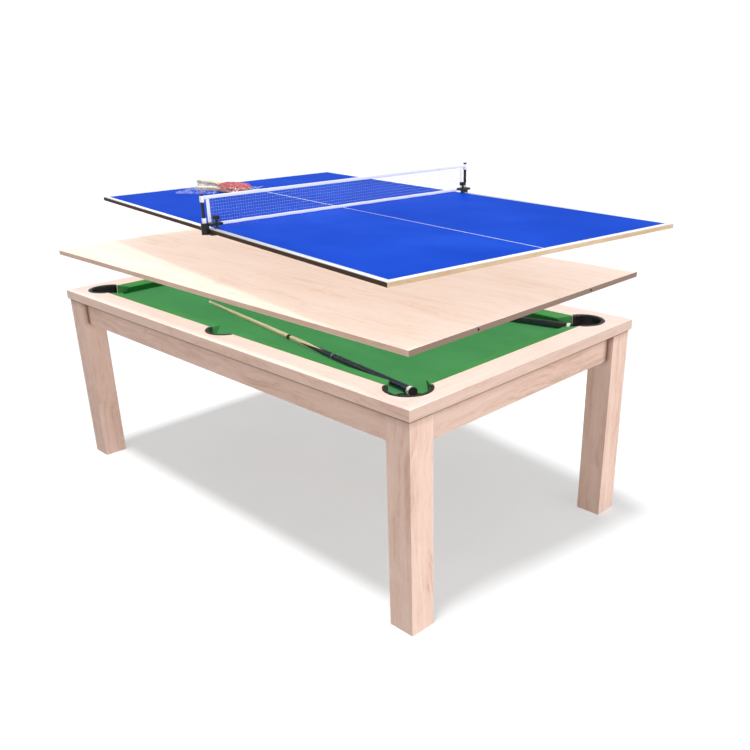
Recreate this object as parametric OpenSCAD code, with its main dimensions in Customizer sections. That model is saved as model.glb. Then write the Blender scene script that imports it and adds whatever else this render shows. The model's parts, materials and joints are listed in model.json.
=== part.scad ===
// Convertible pool table: a drop-pocket pool table with a two-panel dining top
// and a two-panel table-tennis top that are lifted off and stacked above it.
// Millimetres. +X runs along the length, +Y across the width, +Z up.
// The origin is on the floor, at the centre of the table's footprint.

/* [Table] */
// Length over the top rails
table_l = 2140; // [2100:5:2200]
// Width over the top rails
table_w = 1200; // [1180:5:1240]
// Height of the top rails above the floor
table_h = 792; // [780:1:810]
// Width of the wooden top rails
rail_w = 100; // [96:1:104]
// Thickness of the wooden top rails
rail_t = 38; // [36:1:40]
// Side of the square legs
leg_s = 100; // [94:1:104]
// Inset of the legs from the rail's outer edge
leg_in = 8; // [5:1:12]
// Height of the aprons
apron_h = 106; // [100:1:110]
// Thickness of the aprons
apron_t = 18; // [16:1:20]
// Set-back of the aprons behind the legs' outer faces
apron_in = 25; // [20:1:28]

/* [Playing bed] */
// Depth of the bed's cloth below the rail top
bed_drop = 42; // [41:1:44]
// Depth of a cushion from the wooden rail to its nose
cushion_d = 50; // [46:1:52]
// Radius of the pocket cut in the wooden rails
pocket_r = 71; // [68:1:73]
// Corner pocket centre, in from both outer edges
corner_in = 130; // [126:1:134]
// Middle pocket centre, in from the long outer edge
middle_in = 123; // [120:1:126]
// Wall of the pocket liners
liner_t = 6; // [5:0.5:7]
// Depth of the pocket nets below the bed
net_deep = 70; // [60:1:74]

/* [Dining top] */
// Thickness of the dining panels
dine_t = 18; // [16:1:20]
// Height of the raised dining top's upper face
dine_z = 970; // [960:1:980]

/* [Table-tennis top] */
// Thickness of the table-tennis panels
ping_t = 15; // [14:1:16]
// Height of the raised table-tennis top's upper face
ping_z = 1171; // [1165:1:1180]
// Turn of the raised table-tennis top about the vertical, in degrees
ping_turn = -8.25; // [-8.5:0.05:-8]
// Sideways place of the raised table-tennis top's centre, along X and Y alike
ping_off = 84; // [80:1:88]
// Width of the white border line
line_w = 19; // [16:1:20]
// Width of the white centre line
mid_line_w = 4; // [3:0.5:5]
// Height of the net above the playing surface
net_h = 112; // [105:1:125]

/* [Cues] */
// Length of a cue
cue_l = 1444; // [1440:1:1450]
// Radius of a cue's butt end
cue_r1 = 14.5; // [14:0.1:15]
// Radius of a cue's ferrule
cue_r0 = 6.5; // [6:0.1:7]

/* [Hidden] */
$fn = 48;
lx = table_l/2;  wy = table_w/2;
rail_z = table_h - rail_t;             // underside of the rails
bed_z = table_h - bed_drop;            // playing face of the cloth
cloth_t = 1.5;
board_t = 18;
board_top = bed_z - cloth_t;
legx = lx - leg_in;  legy = wy - leg_in;   // outer faces of the legs
apx = legx - apron_in;  apy = legy - apron_in; // outer faces of the aprons
cpx = lx - corner_in;  cpy = wy - corner_in;
mpy = wy - middle_in;
wx = lx - rail_w;  wyi = wy - rail_w;      // inner edges of the wooden rails
nx = wx - cushion_d;  ny = wyi - cushion_d; // cushion noses
liner_r = pocket_r - liner_t;
pocket_at = [for (sx = [-1, 1], sy = [-1, 1]) [sx*cpx, sy*cpy]];
corner_mouth = 80;                     // nose end back from the nose lines' corner
mid_mouth = 80;  mid_throat = 70;
stud_r = 4;  insert_r = 4.03;
pad_t = 8;  dine_pad_t = 2;
leg_at = [[-1, -1], [1, -1], [-1, 1], [1, 1]];

// the one point of the table-tennis top that stays put while it is squared up
pivot = [624.3, -540.3];
dowel_y = [-540, -360, -180, 0, 180, 360, 540];
post_y = wy + 11;

// cue ends on the bed: butt end and heading of the tip
near_end = [930, -435];  near_a = 171.56;
far_end = [915, 447];    far_a = 192;

module box(a, b) { translate(a) cube(b - a); }

// every pocket's vertical cylinder
module pockets(r, z0, z1) {
    for (p = pocket_at) translate([p[0], p[1], z0]) cylinder(r = r, h = z1 - z0);
    for (s = [-1, 1]) translate([0, s*mpy, z0]) cylinder(r = r, h = z1 - z0);
}

// ---- legs, aprons and their fastenings

module leg(sx, sy) {
    color([0.86, 0.73, 0.64]) difference() {
        translate([sx > 0 ? legx - leg_s : -legx, sy > 0 ? legy - leg_s : -legy, 0]) cube([leg_s, leg_s, rail_z]);
        translate([sx*cpx, sy*cpy, bed_z - net_deep - 3]) cylinder(r = pocket_r + 9, h = 200);
        translate([sx*(legx - leg_s/2), sy*(legy - leg_s/2), -1]) cylinder(r = insert_r, h = 41);
        translate([sx*(legx - leg_s/2), sy*(legy - leg_s/2), -1]) cylinder(r = 22, h = 8);
        bolt_hole(sx, sy);
    }
}
// the corner bracket's bolt, on the diagonal through the leg's inner corner
bolt_z = rail_z - apron_h + 15;
module on_diagonal(sx, sy) { translate([sx*(legx - leg_s), sy*(legy - leg_s), bolt_z]) rotate([0, 0, atan2(sy, sx)]) rotate([0, 90, 0]) children(); }
module bolt_hole(sx, sy) { on_diagonal(sx, sy) translate([0, 0, -60]) cylinder(r = 4.1, h = 60 + 45); }
module bolt(sx, sy) {
    on_diagonal(sx, sy) {
        translate([0, 0, -41]) cylinder(r = 4, h = 41 + 44);
        translate([0, 0, -46]) cylinder(r = 7, h = 6, $fn = 6);
        translate([0, 0, -40]) difference() { cylinder(r = 9, h = 2); translate([0, 0, -1]) cylinder(r = 4.1, h = 4); }
    }
}

module apron_long(s) {
    color([0.86, 0.73, 0.64])
        box([-(legx - leg_s), min(s*apy, s*(apy - apron_t)), rail_z - apron_h], [legx - leg_s, max(s*apy, s*(apy - apron_t)), rail_z]);
}
module apron_short(s) {
    color([0.86, 0.73, 0.64])
        box([min(s*apx, s*(apx - apron_t)), -(legy - leg_s), rail_z - apron_h], [max(s*apx, s*(apx - apron_t)), legy - leg_s, rail_z]);
}

// ---- top rails

module pocket_cut() { pockets(pocket_r, rail_z - 1, table_h + 1); }
module rail_long(s) {
    color([0.92, 0.81, 0.72]) difference() {
        translate([0, 0, rail_z]) linear_extrude(height = rail_t)
            polygon([[-lx, s*wy], [lx, s*wy], [wx, s*wyi], [-wx, s*wyi]]);
        pocket_cut();
    }
}
module rail_short(s) {
    color([0.92, 0.81, 0.72]) difference() {
        translate([0, 0, rail_z]) linear_extrude(height = rail_t)
            polygon([[s*lx, -wy], [s*lx, wy], [s*wx, wyi], [s*wx, -wyi]]);
        pocket_cut();
    }
}

// ---- bed

bed_x = apx - apron_t;  bed_y = apy - apron_t;
module bed_shape() {
    difference() {
        square([2*bed_x, 2*bed_y], center = true);
        for (q = leg_at) translate([q[0]*(legx - leg_s/2), q[1]*(legy - leg_s/2)]) square(leg_s, center = true);
        for (p = pocket_at) translate(p) circle(r = pocket_r - 2);
        for (s = [-1, 1]) translate([0, s*mpy]) circle(r = pocket_r - 2);
    }
}
module bed_board() {
    color([0.72, 0.58, 0.42]) translate([0, 0, board_top - board_t]) linear_extrude(height = board_t) bed_shape();
}
module bed_cloth() {
    color([0.31, 0.61, 0.35]) translate([0, 0, board_top]) linear_extrude(height = cloth_t) bed_shape();
}
// softwood strips under the board: cleats along the aprons and beams across
module bed_supports() {
    z0 = board_top - board_t - 34; z1 = board_top - board_t;
    color([0.80, 0.68, 0.50]) {
        for (s = [-1, 1]) for (q = [-1, 1])
            box([q > 0 ? 95 : -(cpx - 100), min(s*bed_y, s*(bed_y - 30)), z0], [q > 0 ? cpx - 100 : -95, max(s*bed_y, s*(bed_y - 30)), z1]);
        for (s = [-1, 1]) box([min(s*bed_x, s*(bed_x - 30)), -(cpy - 100), z0], [max(s*bed_x, s*(bed_x - 30)), cpy - 100, z1]);
        for (x = [-640, -260, 260, 640]) box([x - 22, -(bed_y - 30.2), z0], [x + 22, bed_y - 30.2, z1]);
    }
}

// ---- cushions: (depth from the wood, height relative to the rail top)
cushion_profile = [[0, -1.5], [cushion_d - 4, -4.5], [cushion_d - 0.8, -7], [cushion_d, -9.5], [cushion_d - 1.5, -13],
    [26, -bed_drop + 2.5], [20, -bed_drop + 0.3], [20, -15], [0, -15]];
subrail_profile = [[0, -15], [20, -15], [20, -bed_drop + 0.3], [0, -bed_drop + 0.3]];

// a bar along X from x0 to x1 whose profile grows towards -Y from the origin
module bar_x(p, x0, x1) { translate([x0, 0, 0]) rotate([90, 0, 90]) linear_extrude(height = x1 - x0) polygon([for (q = p) [-q[0], q[1]]]); }

// plan space that a cushion fills: its ends run from the wood edge w to the nose n
function past(xw, xn, e) = [xw - e*(xn - xw)/cushion_d, xn + e*(xn - xw)/cushion_d];
module plan(w0, n0, w1, n1, yw, yn) {
    a = past(w0, n0, 10); b = past(w1, n1, 10);
    translate([0, 0, table_h - 60]) linear_extrude(height = 80)
        polygon([[a[0], yw + 10], [b[0], yw + 10], [b[1], yn - 10], [a[1], yn - 10]]);
}
module cushion_long(sx, sy, p, c) {
    color(c) scale_xy(sx, sy) intersection() {
        translate([0, wyi, table_h]) bar_x(p, 0, wx);
        plan(mid_throat, mid_mouth, cpx - 66, nx - corner_mouth, wyi, ny);
    }
}
module cushion_short(sx, p, c) {
    color(c) scale_xy(sx, 1) rotate([0, 0, -90]) intersection() {
        translate([0, wx, table_h]) bar_x(p, -wyi, wyi);
        plan(-(cpy - 66), -(ny - corner_mouth), cpy - 66, ny - corner_mouth, wx, nx);
    }
}
// mirror to the wanted quarter
module scale_xy(sx, sy) { mirror([sx < 0 ? 1 : 0, 0, 0]) mirror([0, sy < 0 ? 1 : 0, 0]) children(); }

cloth_c = [0.29, 0.58, 0.33];
module cushion_subrails() {
    for (sx = [-1, 1]) { for (sy = [-1, 1]) cushion_long(sx, sy, subrail_profile, [0.75, 0.62, 0.45]); cushion_short(sx, subrail_profile, [0.75, 0.62, 0.45]); }
}

// ---- pockets
// black collar lining the cut in the wood, open towards the playing field from angle a0 round to a1
module liner_ring(a0, a1) {
    difference() {
        cylinder(r = pocket_r - 0.1, h = bed_drop - 0.2);
        translate([0, 0, -1]) cylinder(r = liner_r, h = bed_drop + 2);
        translate([0, 0, -1]) linear_extrude(height = bed_drop + 2) polygon(concat([[0, 0]], [for (i = [0:5]) let (a = a0 + (a1 - a0)*i/5) [200*cos(a), 200*sin(a)]]));
    }
}
module pocket_liners() {
    color([0.06, 0.06, 0.07]) translate([0, 0, bed_z]) {
        for (sx = [-1, 1], sy = [-1, 1]) scale_xy(sx, sy) translate([cpx, cpy, 0]) liner_ring(155, 295);
        for (sy = [-1, 1]) scale_xy(1, sy) translate([0, mpy, 0]) liner_ring(161, 379);
    }
}
// soft pocket net: a closed cup with a rounded bottom that hangs from the bed's underside
module pocket_net() {
    r = pocket_r - 2.5; t = 3;
    rotate_extrude() difference() {
        union() {
            translate([0, -net_deep + 20]) square([r, net_deep - 20]);
            translate([0, -net_deep]) square([r - 20, 30]);
            translate([r - 20, -net_deep + 20]) circle(r = 20);
        }
        union() {
            translate([-1, -net_deep + 20]) square([r - t + 1, net_deep]);
            translate([-1, -net_deep + t]) square([r - 20 + 1, 30]);
            translate([r - 20, -net_deep + 20]) circle(r = 20 - t);
        }
        translate([-100, -200]) square([100, 400]);
    }
}
module pocket_nets() {
    color([0.08, 0.08, 0.09]) translate([0, 0, bed_z - 0.2]) {
        for (p = pocket_at) translate([p[0], p[1], 0]) pocket_net();
        for (s = [-1, 1]) translate([0, s*mpy, 0]) pocket_net();
    }
}

// ---- levelling feet
module leveller(sx, sy) {
    color([0.12, 0.12, 0.13]) translate([sx*(legx - leg_s/2), sy*(legy - leg_s/2), 0]) {
        cylinder(r = 20, h = 5.5);
        cylinder(r = 7, h = 6.5, $fn = 6);
        cylinder(r = stud_r, h = 34);
    }
}

// ---- cues: drawn along +X from the butt end, lowest line on the bed
cue_tilt = asin((cue_r1 - cue_r0)/cue_l);
function cue_r(x) = cue_r1 + (cue_r0 - cue_r1)*x/cue_l;
module cue_part(x0, x1, grow = 0) { translate([x0, 0, 0]) rotate([0, 90, 0]) cylinder(r1 = cue_r(x0) + grow, r2 = cue_r(x1) + grow, h = x1 - x0); }
module on_bed(e, a) { translate([e[0], e[1], bed_z + 0.3 + cue_r1]) rotate([0, 0, a]) rotate([0, cue_tilt, 0]) children(); }
module near() { on_bed(near_end, near_a) children(); }
module far() { on_bed(far_end, far_a) children(); }
joint_x = 740;

// ---- triangle rack
module triangle_rack() {
    inr = 82.6; h = 34; t = 9; r = 22;
    module tri(d) { hull() for (a = [90, 210, 330]) rotate(a) translate([2*(inr - r), 0]) circle(r = r + d, $fn = 32); }
    color([0.07, 0.07, 0.08]) translate([-405, -67, bed_z + 0.3]) rotate([0, 0, 8])
        difference() { linear_extrude(height = h) tri(0); translate([0, 0, -1]) linear_extrude(height = h + 2) tri(-t); }
}

// ---- dining top
module dining_panel(s) {
    color([0.93, 0.83, 0.74]) difference() {
        box([s > 0 ? 0.25 : -lx, -wy, dine_z - dine_t], [s > 0 ? lx : -0.25, wy, dine_z]);
        // blind dowel bores in the seam, and two sockets in the outer end
        for (y = dowel_y) translate([-26, y, dine_z - dine_t/2]) rotate([0, 90, 0]) cylinder(r = 5.03, h = 52);
        for (y = [-300, 300]) translate([s*(lx - 30), y, dine_z - dine_t/2]) rotate([0, s*90, 0]) cylinder(r = 4, h = 40);
    }
}
module dining_dowels() {
    color([0.75, 0.6, 0.4]) for (y = dowel_y) translate([-25, y, dine_z - dine_t/2]) rotate([0, 90, 0]) cylinder(r = 5, h = 50);
}
module dining_pads() {
    color([0.15, 0.15, 0.15]) for (sy = [-1, 1]) for (x = [-820, -420, -140, 140, 420, 820])
        translate([x, sy*(wy - 32), dine_z - dine_t - dine_pad_t]) cylinder(r = 16, h = dine_pad_t);
}

// ---- table-tennis top, drawn square on and then turned into place
module on_ping() { translate([ping_off, ping_off, ping_z]) rotate([0, 0, ping_turn]) children(); }
module tennis_panel(s) {
    color([0.05, 0.33, 0.85]) on_ping() difference() {
        box([s > 0 ? 0.25 : -lx, -wy, -ping_t], [s > 0 ? lx : -0.25, wy, 0]);
        for (y = dowel_y) translate([-26, y, -ping_t/2]) rotate([0, 90, 0]) cylinder(r = 4.03, h = 52);
    }
}
module court_lines() {
    t = 0.25;
    color("white") on_ping() {
        for (s = [-1, 1]) {
            for (q = [-1, 1]) box([q > 0 ? 0.25 : -lx, min(s*wy, s*(wy - line_w)), 0], [q > 0 ? lx : -0.25, max(s*wy, s*(wy - line_w)), t]);
            box([min(s*lx, s*(lx - line_w)), -(wy - line_w), 0], [max(s*lx, s*(lx - line_w)), wy - line_w, t]);
            box([s > 0 ? 0.25 : -(lx - line_w), -mid_line_w/2, 0], [s > 0 ? lx - line_w : -0.25, mid_line_w/2, t]);
        }
    }
}
module tennis_dowels() {
    color([0.75, 0.6, 0.4]) on_ping() for (y = dowel_y) translate([-25, y, -ping_t/2]) rotate([0, 90, 0]) cylinder(r = 4, h = 50);
}
pad_at = [for (x = [-1010, -pivot[0], -95, 95, pivot[0], 1010], y = [pivot[1], -pivot[1]]) if (!(x == pivot[0] && y == pivot[1])) [x, y]];
module rubber_pad() { translate([0, 0, -ping_t - pad_t]) cylinder(r = 18, h = pad_t); }
module tennis_pads() { color([0.12, 0.12, 0.12]) on_ping() for (p = pad_at) translate([p[0], p[1], 0]) rubber_pad(); }
module tennis_pivot_pad() { color([0.12, 0.12, 0.12]) on_ping() translate([pivot[0], pivot[1], 0]) rubber_pad(); }

// ---- net, its clamps and screws; s is the side of the table (-1 front, 1 back)
arm_z = 13;  arm_t = 8;  screw_x = 26;  screw_y = wy - 24;  jaw_t = 5.4;
block_top = 18;
module at_side(s) { on_ping() mirror([0, s > 0 ? 0 : 1, 0]) children(); }
module net_clamp(s) {
    color([0.05, 0.05, 0.06]) at_side(s) difference() {
        union() {
            // outer block that holds the post
            translate([0, 0, -ping_t - 0.1 - jaw_t]) linear_extrude(height = ping_t + 0.1 + jaw_t + block_top)
                union() { translate([-16, wy + 0.4]) square([32, 12]); translate([0, post_y]) circle(r = 13); }
            // upper arm beside the net, and lower jaw
            box([8, wy - 42, arm_z], [42, wy + 6, arm_z + arm_t]);
            box([-16, wy - 38, -ping_t - 0.1 - jaw_t], [42, wy + 6, -ping_t - 0.1]);
        }
        translate([0, post_y, -3]) cylinder(r = 6.05, h = 60);
        translate([screw_x, screw_y, arm_z - 1]) cylinder(r = 4.05, h = arm_t + 2);
        translate([-60, wy - 100, -ping_t - 0.1]) cube([120, 100.4, ping_t + 0.1 + arm_z]);
    }
}
module net_clamps() { for (s = [-1, 1]) net_clamp(s); }
// swivelling foot that the screw presses on the table
module clamp_foot(s) {
    color([0.2, 0.2, 0.21]) at_side(s) translate([screw_x, screw_y, 0.3]) difference() {
        cylinder(r = 9, h = 5);
        translate([0, 0, 2.5]) cylinder(r = 4.05, h = 10);
    }
}
// thumb screw with a lobed knob
module clamp_screw(s) {
    color([0.06, 0.06, 0.07]) at_side(s) translate([screw_x, screw_y, 0.3]) {
        translate([0, 0, 2.55]) cylinder(r = 4, h = 36);
        translate([0, 0, 32]) difference() {
            cylinder(r = 13, h = 12);
            for (a = [0:60:300]) rotate([0, 0, a]) translate([14.5, 0, -1]) cylinder(r = 4, h = 14);
        }
    }
}
module net_posts() {
    color([0.05, 0.05, 0.06]) for (s = [-1, 1]) at_side(s) {
        translate([0, post_y, -2.9]) cylinder(r = 6, h = net_h + 2.9 + 3);
        translate([0, post_y, net_h + 3]) cylinder(r = 7.5, h = 4);
    }
}
net_z0 = 5;  band = 12;  net_end = wy - 4;
module net_mesh() {
    color([0.92, 0.92, 0.92]) on_ping() box([-0.6, -(net_end - band), net_z0 + band], [0.6, net_end - band, net_h - band]);
}
// tapes round the net, wrapped round each post at the top and just above the clamp
module wrap(z0, z1) { translate([0, post_y, z0]) difference() { cylinder(r = 7.4, h = z1 - z0); translate([0, 0, -1]) cylinder(r = 6.06, h = z1 - z0 + 2); } }
module net_bands() {
    color("white") on_ping() {
        box([-1.2, -net_end, net_z0], [1.2, net_end, net_z0 + band]);
        box([-1.2, -net_end, net_h - band], [1.2, net_end, net_h]);
        for (s = [-1, 1]) mirror([0, s > 0 ? 0 : 1, 0]) {
            box([-1.2, net_end - band, net_z0 + band], [1.2, net_end, net_h - band]);
            wrap(net_h - 20, net_h + 1);
            wrap(block_top + 1, block_top + 17);
            for (z = [net_h - band, block_top + 3]) box([-1.2, net_end, z], [1.2, post_y - 6.8, z + 11]);
        }
    }
}

// ---- bats and balls on the table-tennis top
bat_at = [-775, -95];  bat_a = 45;
module lower_bat() { on_ping() translate([bat_at[0], bat_at[1], 8.7]) rotate([0, 0, bat_a]) rotate([0, 2.2, 0]) children(); }
module upper_bat() { lower_bat() translate([2, -7, 16.4]) rotate([0, 0, -5]) rotate([0, 4.3, 0]) children(); }
module bat() {
    translate([0, 0, -3]) linear_extrude(height = 6)
        union() { circle(r = 76); translate([-178, -12]) square([110, 24]); }
    for (s = [0, 1]) mirror([0, 0, s]) translate([0, 0, 3]) linear_extrude(height = 8)
        polygon([[-178, -15], [-140, -13], [-100, -12.5], [-80, -15], [-80, 15], [-100, 12.5], [-140, 13], [-178, 15]]);
}
module bats() { color([0.88, 0.8, 0.64]) { lower_bat() bat(); upper_bat() bat(); } }
module rubbers() {
    for (s = [0, 1]) mirror([0, 0, s]) translate([0, 0, 3]) linear_extrude(height = 2) difference() {
        circle(r = 75.5);
        translate([-200, -80]) square([200 - 62, 160]);
    }
}
module bat_rubbers() { color([0.75, 0.06, 0.1]) { lower_bat() rubbers(); upper_bat() rubbers(); } }
module balls() {
    color("white") on_ping() for (p = [[-905, -150], [-938, -178], [-900, -105]]) translate([p[0], p[1], 20.7]) sphere(r = 20);
}
// clear wrapping film spread under the bats and balls
module clear_bag() {
    color([0.8, 0.88, 0.95]) on_ping() translate([-845, -150, 0.3]) rotate([0, 0, bat_a]) translate([-150, -95, 0]) cube([330, 190, 0.25]);
}

module leg_front_left() { leg(-1, -1); }
module leg_front_right() { leg(1, -1); }
module leg_back_left() { leg(-1, 1); }
module leg_back_right() { leg(1, 1); }
// steel strap across each inside corner, below the pocket net, with a flange on each apron
module bracket(sx, sy) {
    ix = legx - leg_s;  iy = legy - leg_s;  z0 = bolt_z - 13;  h = 26;  c = 38*sqrt(2);
    ex = apx - apron_t;  ey = apy - apron_t;
    scale_xy(sx, sy) difference() {
        union() {
            intersection() {
                translate([ix, iy, z0]) rotate([0, 0, 45]) translate([-38, -140, 0]) cube([2.5, 280, h]);
                box([0, 0, 0], [ex, ey, 2000]);
            }
            box([ix + iy - c - ey - 30, ey - 2.5, z0], [ix + iy - c - ey + 3, ey, z0 + h]);
            box([ex - 2.5, ix + iy - c - ex - 30, z0], [ex, ix + iy - c - ex + 3, z0 + h]);
        }
        translate([ix, iy, bolt_z]) rotate([0, 0, 45]) rotate([0, 90, 0]) translate([0, 0, -60]) cylinder(r = 4.1, h = 60);
    }
}
module corner_brackets() { color([0.6, 0.6, 0.62]) for (q = leg_at) bracket(q[0], q[1]); }
module leg_bolts() { color([0.55, 0.55, 0.57]) for (q = leg_at) bolt(q[0], q[1]); }

module apron_front() { apron_long(-1); }
module apron_back() { apron_long(1); }
module apron_left() { apron_short(-1); }
module apron_right() { apron_short(1); }
module rail_front() { rail_long(-1); }
module rail_back() { rail_long(1); }
module rail_left() { rail_short(-1); }
module rail_right() { rail_short(1); }
module cushion_front_left() { cushion_long(-1, -1, cushion_profile, cloth_c); }
module cushion_front_right() { cushion_long(1, -1, cushion_profile, cloth_c); }
module cushion_back_left() { cushion_long(-1, 1, cushion_profile, cloth_c); }
module cushion_back_right() { cushion_long(1, 1, cushion_profile, cloth_c); }
module cushion_left() { cushion_short(-1, cushion_profile, cloth_c); }
module cushion_right() { cushion_short(1, cushion_profile, cloth_c); }
module leveller_front_left() { leveller(-1, -1); }
module leveller_front_right() { leveller(1, -1); }
module leveller_back_left() { leveller(-1, 1); }
module leveller_back_right() { leveller(1, 1); }

wood_c = [0.93, 0.86, 0.72];  butt_c = [0.06, 0.07, 0.13];
module cue_shaft() { cue_part(joint_x + 22, cue_l - 20); cue_part(cue_l - 20, cue_l - 6); cue_part(cue_l - 6, cue_l); }
module near_cue_shaft() { color(wood_c) near() cue_shaft(); }
module near_cue_joint() { color([0.05, 0.05, 0.05]) near() cue_part(joint_x, joint_x + 22); }
module near_cue_butt() { color(butt_c) near() cue_part(9, joint_x); }
module near_cue_bumper() { color([0.03, 0.03, 0.03]) near() cue_part(0, 9); }
module far_cue_shaft() { color(wood_c) far() cue_shaft(); }
module far_cue_joint() { color([0.05, 0.05, 0.05]) far() cue_part(joint_x, joint_x + 22); }
module far_cue_butt() { color(butt_c) far() cue_part(0, joint_x); }

module dining_panel_left() { dining_panel(-1); }
module dining_panel_right() { dining_panel(1); }
module tennis_panel_left() { tennis_panel(-1); }
module tennis_panel_right() { tennis_panel(1); }
module clamp_foot_front() { clamp_foot(-1); }
module clamp_foot_back() { clamp_foot(1); }
module clamp_screw_front() { clamp_screw(-1); }
module clamp_screw_back() { clamp_screw(1); }

leg_front_left();
leg_front_right();
leg_back_left();
leg_back_right();
apron_front();
apron_back();
apron_left();
apron_right();
rail_front();
rail_back();
rail_left();
rail_right();
bed_board();
bed_cloth();
cushion_front_left();
cushion_front_right();
cushion_back_left();
cushion_back_right();
cushion_left();
cushion_right();
cushion_subrails();
pocket_liners();
pocket_nets();
bed_supports();
corner_brackets();
leg_bolts();
leveller_front_left();
leveller_front_right();
leveller_back_left();
leveller_back_right();
near_cue_shaft();
near_cue_joint();
near_cue_butt();
near_cue_bumper();
far_cue_shaft();
far_cue_joint();
far_cue_butt();
triangle_rack();
dining_panel_left();
dining_panel_right();
dining_dowels();
dining_pads();
tennis_pivot_pad();
tennis_panel_left();
tennis_panel_right();
court_lines();
tennis_dowels();
tennis_pads();
net_clamps();
clamp_foot_front();
clamp_screw_front();
clamp_foot_back();
clamp_screw_back();
net_posts();
net_mesh();
net_bands();
bats();
bat_rubbers();
balls();
clear_bag();
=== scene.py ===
import bpy, json, math
import numpy as np
from mathutils import Matrix, Vector

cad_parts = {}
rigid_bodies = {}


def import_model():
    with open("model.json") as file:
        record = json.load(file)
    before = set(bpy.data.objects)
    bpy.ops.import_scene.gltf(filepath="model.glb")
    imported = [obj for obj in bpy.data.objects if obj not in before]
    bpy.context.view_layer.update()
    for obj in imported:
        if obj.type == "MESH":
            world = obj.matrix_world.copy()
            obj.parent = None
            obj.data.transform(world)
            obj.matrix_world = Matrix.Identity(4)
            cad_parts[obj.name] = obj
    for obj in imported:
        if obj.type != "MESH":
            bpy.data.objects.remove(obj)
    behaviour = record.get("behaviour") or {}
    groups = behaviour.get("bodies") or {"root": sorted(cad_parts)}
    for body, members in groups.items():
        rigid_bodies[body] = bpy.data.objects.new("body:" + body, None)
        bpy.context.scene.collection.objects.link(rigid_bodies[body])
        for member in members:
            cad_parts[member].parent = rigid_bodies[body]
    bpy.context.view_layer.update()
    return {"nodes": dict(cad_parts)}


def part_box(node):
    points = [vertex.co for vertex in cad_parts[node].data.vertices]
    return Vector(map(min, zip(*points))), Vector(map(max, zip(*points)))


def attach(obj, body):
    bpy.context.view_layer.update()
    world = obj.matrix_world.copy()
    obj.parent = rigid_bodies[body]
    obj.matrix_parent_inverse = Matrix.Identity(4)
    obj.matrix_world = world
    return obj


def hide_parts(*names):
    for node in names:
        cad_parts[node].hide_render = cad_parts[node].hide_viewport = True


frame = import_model()
scene = bpy.context.scene
N = frame["nodes"]


# ---------------------------------------------------------------- camera
POS = (2.6105, -2.1901, 1.7054)
YAW, PITCH, ROLL = math.radians(136.368), math.radians(23.88), math.radians(-1.738)
F_PX, CX, CY = 845.6, 379.06, 433.05
fwd = Vector((math.cos(YAW) * math.cos(PITCH), math.sin(YAW) * math.cos(PITCH), -math.sin(PITCH)))
right = Vector((math.sin(YAW), -math.cos(YAW), 0.0))
up = right.cross(fwd)
r2 = math.cos(ROLL) * right + math.sin(ROLL) * up
u2 = -math.sin(ROLL) * right + math.cos(ROLL) * up
cam = bpy.data.cameras.new("camera")
cam.sensor_width = 36.0
cam.lens = F_PX / 750 * 36
cam.shift_x = (375 - CX) / 750
cam.shift_y = (CY - 375) / 750
cam.clip_end = 60
camera = bpy.data.objects.new("camera", cam)
camera.matrix_world = Matrix((
    (r2.x, u2.x, -fwd.x, POS[0]), (r2.y, u2.y, -fwd.y, POS[1]), (r2.z, u2.z, -fwd.z, POS[2]), (0, 0, 0, 1)))
scene.collection.objects.link(camera)
scene.camera = camera
scene.view_settings.view_transform = "Standard"
scene.view_settings.look = "None"

# ---------------------------------------------------------------- floor and light
world = bpy.data.worlds.new("studio")
scene.world = world
world.use_nodes = True
wt = world.node_tree
back = wt.nodes["Background"]
back.inputs["Color"].default_value = (1.0, 1.0, 1.0, 1)
seen = wt.nodes.new("ShaderNodeLightPath")
level = wt.nodes.new("ShaderNodeMapRange")
level.inputs[3].default_value = 0.38      # as a light
level.inputs[4].default_value = 1.05      # as the backdrop
wt.links.new(seen.outputs["Is Camera Ray"], level.inputs[0])
wt.links.new(level.outputs[0], back.inputs["Strength"])


def look_at(o, target):
    d = Vector(target) - Vector(o.location)
    o.rotation_euler = d.to_track_quat("-Z", "Y").to_euler()


def area(name, at, to, size, watts, colour=(1, 1, 1)):
    d = bpy.data.lights.new(name, "AREA")
    d.shape = "RECTANGLE"
    d.size, d.size_y = size
    d.energy = watts
    d.color = colour
    o = bpy.data.objects.new(name, d)
    o.location = at
    scene.collection.objects.link(o)
    look_at(o, to)
    return o


def sunlight(name, towards, energy, degrees, shadows=True):
    d = bpy.data.lights.new(name, "SUN")
    d.energy = energy
    d.angle = math.radians(degrees)
    d.use_shadow = shadows
    o = bpy.data.objects.new(name, d)
    scene.collection.objects.link(o)
    o.location = towards
    look_at(o, (0, 0, 0))
    return o


# one soft overhead lamp draws the floor shadow; an even fill from above and the right has none
sunlight("overhead", (0.10, -0.55, 4.0), 0.95, 8)
fill = sunlight("fill", (1.95, 0.10, 4.0), 3.10, 30, False)
area("gloss_front", (1.6, -4.2, 2.3), (0, 0, 0.8), (3.6, 2.2), 15, (1.0, 0.84, 0.76))
area("gloss_right", (5.0, -0.1, 1.7), (0, 0, 0.6), (4.0, 2.2), 26)


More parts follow.
